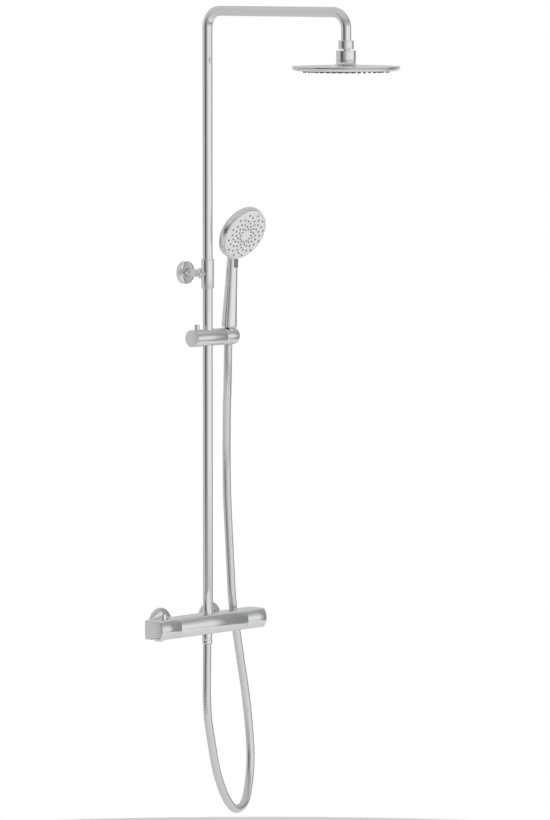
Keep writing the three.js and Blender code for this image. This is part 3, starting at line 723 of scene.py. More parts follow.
# ------------------------------------------------------------------ hose
@dataclass
class Hose:
    """The hose from the mixer's outlet, round its loop, to the holder.

    It is one smooth line in four stretches. The bodies that each one runs between, and how far the drop and
    the climb would reach as the loop sinks by half of the slider's travel, are worked out but not used.
    """

    radius: float = 0.0083
    step: float = 0.003
    fine_steps: int = 60
    sides: int = 28
    drop_ends: float = -0.150
    climb_starts: float = -0.290
    climb_ends: float = 0.450
    far: float = 100.0
    end_radius: float = 0.0080
    end_long: float = 0.085
    route: Tuple[Point, ...] = (
        (0.0, -0.061, -0.0402), (-0.0005, -0.061, -0.075), (-0.001, -0.061, -0.112), (-0.001, -0.061, -0.150),
        (0.002, -0.061, -0.188), (0.012, -0.060, -0.230), (0.036, -0.056, -0.303), (0.070, -0.051, -0.358),
        (0.108, -0.043, -0.384), (0.146, -0.034, -0.376), (0.168, -0.027, -0.338), (0.178, -0.023, -0.290),
        (0.177, -0.021, -0.240), (0.168, -0.019, -0.164), (0.151, -0.019, -0.085), (0.139, -0.019, -0.030),
        (0.131, -0.019, 0.004), (0.125, -0.019, 0.045), (0.121, -0.019, 0.096), (0.116, -0.019, 0.164),
        (0.110, -0.0195, 0.245), (0.103, -0.024, 0.330), (0.084, -0.041, 0.420), (0.072, -0.053, 0.468),
        (0.0655, -0.0595, 0.512), (0.064, -0.0616, 0.5523),
    )

    def centreline(self) -> np.ndarray:
        """The centripetal curve through the route, in even steps.

        Returns:
            Its points.
        """
        points = [np.array(point, float) for point in self.route]
        points = [2 * points[0] - points[1], *points, 2 * points[-1] - points[-2]]
        fine: List[np.ndarray] = []
        for a, b, c, d in zip(points, points[1:], points[2:], points[3:]):
            knots = np.concatenate([[0.0], np.cumsum([math.sqrt(np.linalg.norm(q - p))
                                                      for p, q in ((a, b), (b, c), (c, d))])])
            for t in np.linspace(knots[1], knots[2], self.fine_steps, endpoint=False):
                fine.append(self._between((a, b, c, d), knots, t))
        fine.append(points[-2])
        line = np.array(fine)
        along = np.concatenate([[0.0], np.cumsum(np.linalg.norm(np.diff(line, axis=0), axis=1))])
        count = math.ceil(along[-1] / self.step) + 1
        places = np.linspace(0.0, along[-1], count)
        return np.stack([np.interp(places, along, line[:, k]) for k in range(3)], axis=1)

    @staticmethod
    def _between(points: Sequence[np.ndarray], knots: np.ndarray, t: float) -> np.ndarray:
        """One point of the curve between the middle two of four points.

        Args:
            points: The four points.
            knots: The curve's parameter at each.
            t: The parameter of the point that is wanted.

        Returns:
            The point.
        """
        level = list(points)
        for reach in (1, 2):
            level = [a + (b - a) * (t - knots[i]) / (knots[i + reach] - knots[i])
                     for i, (a, b) in enumerate(zip(level, level[1:]))]
        first, last = level
        return first + (last - first) * (t - knots[1]) / (knots[2] - knots[1])

    def tube(self, name: str, line: np.ndarray, sides: np.ndarray, up: np.ndarray, start: float,
             radius: float) -> Piece:
        """Skins part of the centreline.

        Args:
            name: The piece's name.
            line: The points of this stretch.
            sides: One direction across the hose at each point.
            up: The other direction across it.
            start: How far along the hose the stretch starts.
            radius: The hose's radius.

        Returns:
            A closed tube with a UV map in metres along and turns round.
        """
        mesh = bmesh.new()
        uv = mesh.loops.layers.uv.new("UVMap")
        angles = [2 * math.pi * k / self.sides for k in range(self.sides)]
        rings = [[mesh.verts.new(p + radius * (math.cos(a) * s + math.sin(a) * u)) for a in angles]
                 for p, s, u in zip(line, sides, up)]
        for i, (near, far) in enumerate(zip(rings, rings[1:])):
            for k in range(self.sides):
                n = (k + 1) % self.sides
                face = mesh.faces.new((near[k], near[n], far[n], far[k]))
                spots = ((i, k), (i, k + 1), (i + 1, k + 1), (i + 1, k))
                for loop, (ring, turn) in zip(face.loops, spots):
                    loop[uv].uv = (start + ring * self.step, turn / self.sides)
        mesh.faces.new(list(reversed(rings[0])))
        mesh.faces.new(rings[-1])
        bmesh.ops.recalc_face_normals(mesh, faces=mesh.faces)
        data = bpy.data.meshes.new(name)
        mesh.to_mesh(data)
        mesh.free()
        piece = bpy.data.objects.new(name, data)
        bpy.context.scene.collection.objects.link(piece)
        return piece

    @staticmethod
    def across(line: np.ndarray) -> Tuple[np.ndarray, np.ndarray]:
        """Two directions across the hose at each point, carried along it without a twist.

        Args:
            line: The centreline.

        Returns:
            Both directions for every point.
        """
        ways = np.gradient(line, axis=0)
        ways /= np.linalg.norm(ways, axis=1)[:, None]
        side = np.array([1.0, 0.0, 0.0])
        sides, ups = [], []
        for way in ways:
            side = side - way * side.dot(way)
            side /= np.linalg.norm(side)
            sides.append(side)
            ups.append(np.cross(way, side))
        return np.array(sides), np.array(ups)

    def build(self) -> None:
        """Makes the four stretches and the end that lifts with the hand shower."""
        line = self.centreline()
        sides, ups = self.across(line)
        lowest = int(line[:, 2].argmin())
        first = int(np.abs(line[:lowest, 2] - self.drop_ends).argmin())
        second = lowest + int(np.abs(line[lowest:, 2] - self.climb_starts).argmin())
        third = lowest + int(np.abs(line[lowest:, 2] - self.climb_ends).argmin())
        last = len(line) - 1
        outlet, entry = tuple(line[0]), tuple(line[last])
        drop = 2 * (line[first][2] - line[0][2])
        climb = line[third][2] - line[second][2]
        stretches = (
            ("hose_drop", 0, first, ("column", "slider"), (0, 0, line[0][2]), (0, 0, line[0][2] + drop)),
            ("hose_loop", first, second, ("column", "slider"), (0, -self.far, 0), (0, self.far, 0)),
            ("hose_climb", second, third, ("column", "slider"),
             (0, 0, line[second][2] - climb), (0, 0, line[third][2])),
            ("hose_entry", third, last, ("slider", "holder"), (0, 0, line[third][2]), (0, 0, entry[2])),
        )
        length = 0.0
        for name, low, high, bodies, start, end in stretches:
            part = line[low:high + 1]
            long = float(np.linalg.norm(np.diff(part, axis=0), axis=1).sum())
            length += long
            piece = self.tube(name, part, sides[low:high + 1], ups[low:high + 1], low * self.step,
                              self.radius)
            Bench.dress(piece, Finishes.HOSE, None, "hose_silver", ["shower_hose"], angle=60)
            with_pieces = [self.lifting_end(line, sides, ups)] if high == last else []
            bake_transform(piece)
        LOG.info("hose: %.3f m from %s to %s", length, outlet, entry)

    def lifting_end(self, line: np.ndarray, sides: np.ndarray, ups: np.ndarray) -> Piece:
        """The hose's last stretch once more, a hair thinner, which the lifted hand shower draws out.

        Args:
            line: The whole centreline.
            sides: One direction across at each point.
            ups: The other.

        Returns:
            The piece.
        """
        low = len(line) - 1 - round(self.end_long / self.step)
        piece = self.tube("hose_end", line[low:], sides[low:], ups[low:], low * self.step, self.end_radius)
        return Bench.dress(piece, Finishes.HOSE, "hand_shower", "hose_silver", angle=60)


# ------------------------------------------------------------------ wall unions
@dataclass
class WallUnions:
    """The two flanges and union nuts behind the mixer."""

    flange_radius: float = 0.034
    bore: float = 0.014
    depth: float = 0.010
    skirt: float = 0.003
    wall: float = 0.002
    flange_edge: float = 0.0004
    dome_steps: int = 16
    under_steps: int = 12
    nut_across: float = 0.030
    nut_chamfer: float = 0.0014
    nut_edge: float = 0.0006

    def build(self) -> None:
        """Makes both sides."""
        for side, name in ((-1, "left"), (1, "right")):
            centre = (side * INLET_SPACING / 2, 0, 0)
            self.flange(name, centre)
            self.nut(name, centre)

    def flange(self, name: str, centre: Point) -> None:
        """A domed flange that covers the hole in the wall.

        Args:
            name: Which side.
            centre: Its middle on the wall.
        """
        inner = self.flange_radius - self.wall
        rise = self.depth - self.skirt
        outside = quarter(self.flange_radius - self.bore, rise, self.skirt, self.dome_steps)
        inside = quarter(inner - self.bore, rise - self.wall, self.skirt, self.under_steps)
        dome = [(r + self.bore, z) for r, z in outside]
        under = [(r + self.bore, z) for r, z in inside]
        profile = [(inner, 0.0), (self.flange_radius, 0.0), *dome, (self.bore, self.depth),
                   (self.bore, self.depth - self.wall), *reversed(under), (inner, 0.0)]
        piece = Bench.turned(f"flange_{name}", profile, centre, Axis.ROOM.value, edge=self.flange_edge)
        Bench.dress(piece, Finishes.CHROME, "column", "chrome", [f"wall_flange_{name}"], angle=35)

    def nut(self, name: str, centre: Point) -> None:
        """A hexagonal union nut with chamfered corners.

        Args:
            name: Which side.
            centre: Its middle on the wall.
        """
        low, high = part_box(f"union_nut_{name}")
        Bench.clear()
        bpy.ops.mesh.primitive_cylinder_add(
            vertices=6, radius=self.nut_across / 2 / math.cos(math.pi / 6), depth=high.y - low.y,
            location=(centre[0], (low.y + high.y) / 2, 0), rotation=(math.pi / 2, 0, 0))
        piece = bpy.context.object
        piece.name = f"hex_nut_{name}"
        Bench.place_in_mesh(piece)
        bpy.ops.object.mode_set(mode="EDIT")
        Bench.pick(piece, lambda p: min(abs(p.y - low.y), abs(p.y - high.y)) < NEAR, edges=True)
        bpy.ops.mesh.bevel(offset=self.nut_chamfer, segments=2, affect="EDGES")
        bpy.ops.object.mode_set(mode="OBJECT")
        Bench.ease(piece, self.nut_edge)
        Bench.dress(piece, Finishes.CHROME, "column", "chrome", [f"union_nut_{name}"])


# ------------------------------------------------------------------ mixer
@dataclass
class Mixer:
    """The bar: body, both knobs, the safety button and the outlet's nut."""

    back: float = -0.035
    corner: float = -0.0755
    bow: float = 0.007
    half_height: float = 0.01925
    chamfer: float = 0.003
    fillet: float = 0.003
    rows: int = 12
    end_edge: float = 0.002
    seam_edge: float = 0.0004
    button_edge: float = 0.0009
    nut_bore: float = 0.0085
    nut_edge: float = 0.0003
    groove_up: float = 0.006
    groove_wide: float = 0.0008
    groove_deep: float = 0.0004

    def build(self) -> None:
        """Makes every piece of the bar that shows."""
        plated = "chromed_plastic"
        self.bar("mixer_shell", "mixer_body", "column", "chrome", Finishes.CHROME, ())
        self.bar("knob_left", "temperature_knob", "temperature_knob", plated, Finishes.PLATED, (0,))
        self.bar("knob_right", "flow_knob", "flow_knob", plated, Finishes.PLATED, (1,))
        self.button()
        self.outlet_nut()

    def bar(self, name: str, node: str, body: str, slot: str, finish: Finish, ends: Sequence[int]) -> None:
        """One length of the bar: a block bowed in front, chamfered behind and eased at its open end.

        Args:
            name: The piece's name.
            node: The CAD node that it stands for, which gives its ends.
            body: The body that it rides on.
            slot: Its material slot.
            finish: Its finish.
            ends: Which ends are eased: 0 for the left and 1 for the right.
        """
        low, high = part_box(node)
        sides = (low.x, high.x)
        Bench.clear()
        middle = ((low.x + high.x) / 2, (self.back + self.corner) / 2, 0)
        bpy.ops.mesh.primitive_cube_add(size=1, location=middle)
        piece = bpy.context.object
        piece.name = name
        piece.scale = (high.x - low.x, self.back - self.corner, 2 * self.half_height)
        Bench.place_in_mesh(piece)
        bpy.ops.object.mode_set(mode="EDIT")
        self.bow_front(piece)
        long_edge = self.half_height - NEAR
        Bench.pick(piece, lambda p: abs(p.z) > long_edge and p.y < self.corner + NEAR, edges=True)
        bpy.ops.mesh.bevel(offset=self.fillet, segments=5, affect="EDGES")
        Bench.pick(piece, lambda p: abs(p.z) > long_edge and p.y > self.back - NEAR, edges=True)
        bpy.ops.mesh.bevel(offset=self.chamfer, segments=1, affect="EDGES")
        for end in ends:
            Bench.pick(piece, lambda p: abs(p.x - sides[end]) < NEAR, edges=True)
            bpy.ops.mesh.region_to_loop()
            bpy.ops.mesh.bevel(offset=self.end_edge, segments=4, affect="EDGES")
        bpy.ops.mesh.select_all(action="SELECT")
        bpy.ops.mesh.normals_make_consistent(inside=False)
        bpy.ops.object.mode_set(mode="OBJECT")
        Bench.ease(piece, self.seam_edge, steps=2, angle=40)
        Bench.dress(piece, finish, body, slot, [node], angle=28)

    def bow_front(self, piece: Piece) -> None:
        """Cuts the front into level rows and draws each one out along the bow.

        Args:
            piece: The block, in edit mode.
        """
        levels = [self.half_height * (2 * row / self.rows - 1) for row in range(1, self.rows)]
        for level in levels:
            bpy.ops.mesh.select_all(action="SELECT")
            bpy.ops.mesh.bisect(plane_co=(0, 0, level), plane_no=(0, 0, 1))
        for level in levels:
            Bench.pick(piece, lambda p: abs(p.z - level) < NEAR and p.y < self.corner + NEAR)
            out = self.bow * (1 - (level / self.half_height) ** 2)
            bpy.ops.transform.translate(value=(0, -out, 0))

    def button(self) -> None:
        """The knob's safety button, a plain round stud with an eased top."""
        low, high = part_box("safety_stop_button")
        radius = (high.x - low.x) / 2
        middle = ((low.x + high.x) / 2, (low.y + high.y) / 2, 0)
        piece = Bench.turned("safety_button", [(radius, low.z), (radius, high.z)], middle,
                             sides=Roundness.SMALL, edge=self.button_edge)
        Bench.dress(piece, Finishes.PLATED, "safety_button", "chromed_plastic", ["safety_stop_button"])

    def outlet_nut(self) -> None:
        """The round nut that holds the hose under the outlet, with a groove round its middle."""
        low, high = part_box("hose_lower_nut")
        centre = middle_of("hose_lower_nut")
        radius = (high.y - low.y) / 2
        bore, floor = self.nut_bore, radius - self.groove_deep
        start = low.z + self.groove_up
        end = start + self.groove_wide
        profile = [(bore, low.z), (radius, low.z), (radius, start), (floor, start), (floor, end),
                   (radius, end), (radius, high.z), (bore, high.z), (bore, low.z)]
        piece = Bench.turned("outlet_nut", profile, (centre.x, centre.y, 0), edge=self.nut_edge)
        Bench.dress(piece, Finishes.CHROME, "column", "chrome", ["hose_lower_nut"])


# ------------------------------------------------------------------ riser, sleeve and bracket
@dataclass
class Riser:
    """The lower tube, its coupling sleeve and the wall bracket."""

    tube_radius: float = 0.010
    bore: float = 0.0088
    sleeve_radius: float = 0.0125
    sleeve_mouth: float = 0.0102
    boss_radius: float = 0.0108
    boss_starts: float = 0.0108
    cover_wall: float = 0.0015
    cover_hole: float = 0.0076
    stem_radius: float = 0.00725
    barrel_radius: float = 0.0075
    stem_meets: float = 0.6
    screw_shank: float = 0.0024
    screw_gap: float = 0.0003
    socket_radius: float = 0.0023
    socket_long: float = 0.006
    fine_edge: float = 0.0002
    stem_edge: float = 0.0003
    sleeve_edge: float = 0.0004
    barrel_edge: float = 0.0006
    round_edge: float = 0.0007

    def build(self) -> None:
        """Makes the tube, the sleeve and the bracket."""
        self.tube()
        self.sleeve()
        self.clamp_screw()
        self.cover()
        self.stem()

    def tube(self) -> None:
        """The lower tube."""
        low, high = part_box("lower_riser")
        profile = [(self.bore, low.z), (self.tube_radius, low.z), (self.tube_radius, high.z),
                   (self.bore, high.z), (self.bore, low.z)]
        piece = Bench.turned("riser_tube", profile, (0, -WALL_TO_RISER, 0), edge=self.fine_edge)
        Bench.dress(piece, Finishes.CHROME, "column", "chrome", ["lower_riser"])

    def sleeve(self) -> None:
        """The sleeve that joins both tubes, with a round boss at its back."""
        low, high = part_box("coupling_sleeve")
        mouth = self.sleeve_mouth
        profile = [(mouth, low.z), (self.sleeve_radius, low.z), (self.sleeve_radius, high.z),
                   (mouth, high.z), (mouth, low.z)]
        sleeve = Bench.turned("riser_sleeve", profile, (0, -WALL_TO_RISER, 0), edge=self.sleeve_edge)
        along = [(self.boss_radius, self.boss_starts), (self.boss_radius, high.y + WALL_TO_RISER)]
        boss = Bench.turned("riser_boss", along, (0, -WALL_TO_RISER, (low.z + high.z) / 2), (0, 1, 0),
                            edge=self.round_edge)
        piece = Bench.join("riser_sleeve", [sleeve, boss])
        Bench.dress(piece, Finishes.CHROME, "column", "chrome", ["coupling_sleeve"])

    def clamp_screw(self) -> None:
        """The round-headed screw that clamps the sleeve, with a hexagon socket in its head."""
        low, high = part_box("sleeve_clamp_screw")
        centre = middle_of("sleeve_clamp_screw")
        radius = (high.z - low.z) / 2
        shank, head_end = self.screw_shank, -self.sleeve_radius - self.screw_gap
        profile = [(radius, low.x), (radius, head_end), (shank, head_end), (shank, high.x)]
        piece = Bench.turned("clamp_screw", profile, (0, centre.y, centre.z), Axis.RIGHT.value,
                             sides=Roundness.SMALL, edge=self.barrel_edge)
        Bench.clear()
        bpy.ops.mesh.primitive_cylinder_add(
            vertices=6, radius=self.socket_radius, depth=self.socket_long,
            location=(low.x, centre.y, centre.z), rotation=(0, math.pi / 2, 0))
        Bench.cut(piece, bpy.context.object)
        Bench.dress(piece, Finishes.CHROME, "column", "chrome", ["sleeve_clamp_screw"])

    def cover(self) -> None:
        """The bracket's round cover on the wall."""
        low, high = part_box("bracket_cover")
        radius, depth, hole = (high.x - low.x) / 2, high.y - low.y, self.cover_hole
        inner, under = radius - self.cover_wall, depth - self.cover_wall
        profile = [(inner, 0.0), (radius, 0.0), (radius, depth), (hole, depth), (hole, under),
                   (inner, under), (inner, 0.0)]
        piece = Bench.turned("bracket_rose", profile, (0, 0, (low.z + high.z) / 2), Axis.ROOM.value,
                             edge=self.round_edge)
        Bench.dress(piece, Finishes.CHROME, "column", "chrome", ["bracket_cover"])

    def stem(self) -> None:
        """The stem off the wall, crossed by a short barrel."""
        low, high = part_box("bracket_stem")
        centre = middle_of("bracket_stem")
        radius, barrel = self.stem_radius, self.barrel_radius
        along = [(radius, -high.y), (radius, -low.y - barrel * self.stem_meets)]
        stem = Bench.turned("bracket_arm", along, (0, 0, centre.z), Axis.ROOM.value, edge=self.stem_edge)
        across = [(barrel, low.x), (barrel, high.x)]
        cross = Bench.turned("bracket_barrel", across, (0, low.y + barrel, centre.z), Axis.RIGHT.value,
                             edge=self.barrel_edge)
        piece = Bench.join("bracket_arm", [stem, cross])
        Bench.dress(piece, Finishes.CHROME, "column", "chrome", ["bracket_stem"])


# ------------------------------------------------------------------ arm
@dataclass
class Arm:
    """The overhead tube with its two bends, and the collar and ball at its end."""

    radius: float = 0.010
    height: float = 1.2138
    reach: float = 0.353
    bend: float = 0.032
    bend_steps: int = 28
    ends_at: float = 1.148
    collar_bore: float = 0.0086
    collar_mouth: float = 0.0102
    collar_seat: float = 1.1468
    collar_edge: float = 0.0005
    stud_gap: float = 0.0003
    neck: float = 0.006
    way: float = 0.0032
    ball_starts: float = -72.0
    ball_steps: int = 24

    def build(self) -> None:
        """Makes the tube and both fittings."""
        self.tube()
        self.fittings()

    def tube(self) -> None:
        """Draws a ring up the riser, round both bends and down to the head."""
        low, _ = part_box("overhead_arm")
        Bench.clear()
        out, top = -WALL_TO_RISER, self.height - self.bend
        bpy.ops.mesh.primitive_circle_add(
            vertices=Roundness.FULL.value, radius=self.radius, fill_type="NGON", location=(0, out, low.z))
        piece = bpy.context.object
        piece.name = "arm_tube"
        bpy.ops.object.mode_set(mode="EDIT")
        bpy.ops.mesh.select_all(action="SELECT")
        self.draw(Vector((0, 0, top - low.z)))
        self.turn((0, out - self.bend, top))
        self.draw(Vector((0, -(self.reach - 2 * self.bend), 0)))
        self.turn((0, out - self.reach + self.bend, top))
        self.draw(Vector((0, 0, -(top - self.ends_at))))
        bpy.ops.mesh.select_all(action="SELECT")
        bpy.ops.mesh.remove_doubles(threshold=DOUBLES)
        bpy.ops.mesh.normals_make_consistent(inside=False)
        bpy.ops.object.mode_set(mode="OBJECT")
        Bench.place_in_mesh(piece)
        Bench.dress(piece, Finishes.CHROME, "arm", "chrome", ["overhead_arm"])

    @staticmethod
    def draw(way: Vector) -> None:
        """Draws the selected end straight along a way."""
        bpy.ops.mesh.extrude_region_move(TRANSFORM_OT_translate={"value": way})

    def turn(self, centre: Point) -> None:
        """Spins the selected end a quarter turn forwards about a level axis through the centre."""
        bpy.ops.mesh.spin(steps=self.bend_steps, angle=-math.pi / 2, center=centre, axis=(1, 0, 0))

    def fittings(self) -> None:
        """The collar on the tube's end, and the ball that it holds."""
        at = (0, -WALL_TO_RISER - self.reach, 0)
        low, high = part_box("arm_end_fitting")
        radius, bore, mouth = (high.x - low.x) / 2, self.collar_bore, self.collar_mouth
        collar = [(bore, low.z), (radius, low.z), (radius, high.z), (mouth, high.z),
                  (mouth, self.collar_seat), (bore, self.collar_seat), (bore, low.z)]
        piece = Bench.turned("arm_collar", collar, at, edge=self.collar_edge)
        Bench.dress(piece, Finishes.CHROME, "arm", "chrome", ["arm_end_fitting"])
        foot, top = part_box("ball_stud")
        first, last = math.radians(self.ball_starts), math.acos(self.neck / BALL_RADIUS)
        shaft = bore - self.stud_gap
        stud = [(self.way, foot.z), *arc(BALL_RADIUS, BALL_HEIGHT, first, last, self.ball_steps),
                (self.neck, low.z), (shaft, low.z), (shaft, top.z), (self.way, top.z), (self.way, foot.z)]
        piece = Bench.turned("arm_ball", stud, at, sides=Roundness.SMALL)
        Bench.dress(piece, Finishes.CHROME, "arm", "chrome", ["ball_stud"], angle=35)


# ------------------------------------------------------------------ rain head
@dataclass
class RainHead:
    """The round rain head: shell, spray plate, mat and soft nozzles."""

    edge: float = 0.0003
    wall: float = 0.0016
    nut_edge: float = 0.0005
    nut_skirt: float = 0.0133
    nut_cavity: float = 0.0131
    nut_lip: float = 0.0085
    throat: float = 0.0045
    cup_mouth: float = 0.0097
    spigot: float = 0.013
    crown: float = 0.0187
    foot: float = 0.0262
    hub_top: float = 1.1195
    flare_top: float = 1.1180
    cup_floor: float = 1.1175
    dome_top: float = 1.1120
    dome_curve: float = 1.6
    dome_under: float = 1.1100
    rim_in: float = 0.0015
    shoulder: float = 1.1098
    rim_top: float = 1.1089
    shoulder_in: float = 0.0021
    shell_steps: int = 14
    nut_steps: int = 8
    plate_inner: float = 0.0863
    plate_face: float = 0.094
    plate_lip: float = 0.002
    plate_step: float = 0.001
    plate_steps: int = 8
    mat_radius: float = 0.086
    bead: Profile = ((0.0844, -0.0002), (0.0834, 0.0), (0.006, 0.0))
    rings: int = 7
    ring_pitch: float = 0.0118
    nozzle: Profile = ((0.002295, 0.0), (0.0017, -0.0007), (0.0011, -0.0029), (0.0010, -0.0034),
                       (0.0005, -0.0034), (0.00045, -0.0025))

    def build(self) -> None:
        """Makes every piece of the head."""
        middle = middle_of("head_top_shell")
        self.at = (middle.x, middle.y, 0)
        self.nut()
        self.shell()
        self.plate()
        self.mat()
        self.nozzles()

    def nut(self) -> None:
        """The round nut on the hub, which holds the head to the ball."""
        low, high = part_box("ball_nut")
        radius, skirt = (high.x - low.x) / 2, self.nut_skirt
        last = math.asin(self.nut_lip / self.nut_cavity)
        bowl = arc(self.nut_cavity, BALL_HEIGHT, 0.0, last, self.nut_steps)
        profile = [(skirt, low.z), (radius, low.z), (radius, high.z), (bowl[-1][0], high.z),
                   *reversed(bowl), (skirt, BALL_HEIGHT), (skirt, low.z)]
        piece = Bench.turned("head_nut", profile, self.at, edge=self.nut_edge)
        Bench.dress(piece, Finishes.CHROME, "rain_head", "chrome", ["ball_nut"], angle=35)

    def shell(self) -> None:
        """The top: a flared hub that runs out into a shallow dome with a thin rim."""
        low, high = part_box("head_top_shell")
        radius, wall, throat, foot = (high.x - low.x) / 2, self.wall, self.throat, self.foot
        top, steps = self.dome_top, self.shell_steps
        turns = [step / steps * math.pi / 2 for step in range(steps, -1, -1)]
        flare = [(foot - (foot - self.crown) * math.sin(t), top + (self.flare_top - top) * (1 - math.cos(t)))
                 for t in turns]
        dome = [(foot + (radius - self.rim_in - foot) * t, top - (top - self.shoulder) * t ** self.dome_curve)
                for t in [step / steps for step in range(1, steps + 1)]]
        under = self.dome_under
        profile = [(throat, self.cup_floor), (self.cup_mouth, high.z), (self.spigot, high.z),
                   (self.spigot, self.hub_top), (self.crown, self.hub_top), *flare, *dome,
                   (radius, self.rim_top), (radius, low.z), (radius - wall, low.z),
                   (radius - self.shoulder_in, self.shoulder - wall), (foot, under), (throat, under),
                   (throat, self.cup_floor)]
        piece = Bench.turned("head_shell", profile, self.at, sides=Roundness.BROAD, edge=self.edge)
        Bench.dress(piece, Finishes.CHROME, "rain_head", "chrome", ["head_top_shell"], angle=26)

    def plate(self) -> None:
        """The underside: a ring that slopes in from the rim to the mat."""
        low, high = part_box("head_spray_plate")
        radius, face, inner, top = (high.x - low.x) / 2, self.plate_face, self.plate_inner, low.z + self.wall
        turns = [step / self.plate_steps * math.pi / 2 for step in range(self.plate_steps + 1)]
        slope = [(face + (radius - face) * math.sin(t), low.z + (high.z - low.z) * (1 - math.cos(t)))
                 for t in turns]
        profile = [(inner, low.z), *slope, (radius - self.plate_lip, high.z),
                   (face - self.plate_step, top), (inner, top), (inner, low.z)]
        piece = Bench.turned("spray_plate", profile, self.at, sides=Roundness.BROAD, edge=self.edge)
        Bench.dress(piece, Finishes.CHROME, "rain_head", "chrome", ["head_spray_plate"], angle=35)

    def mat(self) -> None:
        """The mat that the nozzles stand on, with a low bead round it."""
        low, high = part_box("head_nozzle_mat")
        profile = [(self.mat_radius, high.z), (self.mat_radius, low.z),
                   *[(radius, low.z + rise) for radius, rise in self.bead]]
        piece = Bench.turned("nozzle_mat", profile, self.at, sides=Roundness.BROAD)
        Bench.dress(piece, Finishes.CHROME, "rain_head", "chrome", ["head_nozzle_mat"], angle=35)

    def nozzles(self) -> None:
        """Rings of small soft nozzles, six more in each ring than in the last."""
        low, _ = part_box("head_nozzle_mat")
        model = Bench.turned("rain_nozzles", self.nozzle, sides=Roundness.TINY)
        places = []
        for ring in range(1, self.rings + 1):
            count = 6 * ring
            for index in range(count):
                angle = 2 * math.pi * (index + 0.5 * (ring % 2)) / count
                radius = self.ring_pitch * ring
                places.append(Matrix.Translation((self.at[0] + radius * math.cos(angle),
                                                  self.at[1] + radius * math.sin(angle), low.z)))
        piece = Bench.copies("rain_nozzles", model, places)
        Bench.dress(piece, Finishes.DARK_NOZZLE, "rain_head", "nozzle_rubber", angle=40)


# ------------------------------------------------------------------ slider
@dataclass
class Slider:
    """The slider across the riser, its end cap and button, and the holder's cup."""

    edge: float = 0.0006
    fine_edge: float = 0.0002
    cup_edge: float = 0.0012
    hole_edge: float = 0.0004
    hole_past: float = 0.003
    button_edge: float = 0.0008
    hole_top: float = 0.0122
    hole_bottom: float = 0.0109
    cup_at: float = 0.064
    lean: float = 3.6

    def build(self) -> None:
        """Makes the barrel in its three lengths, and the button."""
        low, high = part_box("slider_body")
        centre = middle_of("slider_body")
        radius = (high.z - low.z) / 2
        self.at = (0, centre.y, centre.z)
        self.barrel("slider_barrel", "slider_body", radius, low.x, high.x, (self.fine_edge, self.edge / 2))
        low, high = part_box("slider_end_cap")
        self.barrel("slider_cap", "slider_end_cap", radius, low.x, high.x, (self.edge, self.fine_edge))
        self.cup(radius)
        self.button()

    def barrel(self, name: str, node: str, radius: float, low: float, high: float,
               edges: Tuple[float, float]) -> None:
        """One length of the slider's barrel with an edge eased at each end.

        Args:
            name: The piece's name.
            node: The CAD node that it stands for.
            radius: Its radius.
            low: Its left end.
            high: Its right end.
            edges: How much each end is eased.
        """
        left, right = edges
        profile = [(radius - left, low), (radius, low + left), (radius, high - right), (radius - right, high)]
        piece = Bench.turned(name, profile, self.at, Axis.RIGHT.value, edge=min(edges) / 2)
        Bench.dress(piece, Finishes.PLATED, "slider", "chromed_plastic", [node])

    def cup(self, radius: float) -> None:
        """The holder's end of the barrel, with a tapered hole through it for the hose's nut.

        Args:
            radius: The barrel's radius.
        """
        low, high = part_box("holder_cup")
        profile = [(radius, low.x), (radius, high.x - self.cup_edge), (radius - self.cup_edge, high.x)]
        piece = Bench.turned("holder_barrel", profile, self.at, Axis.RIGHT.value, edge=self.hole_edge)
        angle = math.radians(self.lean)
        up = (0.0, -math.sin(angle), math.cos(angle))
        past = radius + self.hole_past
        hole = Bench.turned("hole", [(self.hole_bottom, -past), (self.hole_top, past)],
                            (self.cup_at, self.at[1], self.at[2]), up, sides=Roundness.SMALL)
        Bench.cut(piece, hole)
        Bench.ease(piece, self.hole_edge, steps=2, angle=45)
        Bench.dress(piece, Finishes.PLATED, "holder", "chromed_plastic", ["holder_cup"])

    def button(self) -> None:
        """The release button on top."""
        low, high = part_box("slider_release_button")
        radius = (high.x - low.x) / 2
        middle = ((low.x + high.x) / 2, (low.y + high.y) / 2, 0)
        piece = Bench.turned("release_button", [(radius, low.z), (radius, high.z)], middle,
                             sides=Roundness.SMALL, edge=self.button_edge)
        Bench.dress(piece, Finishes.PLATED, "slider_button", "chromed_plastic", ["slider_release_button"])


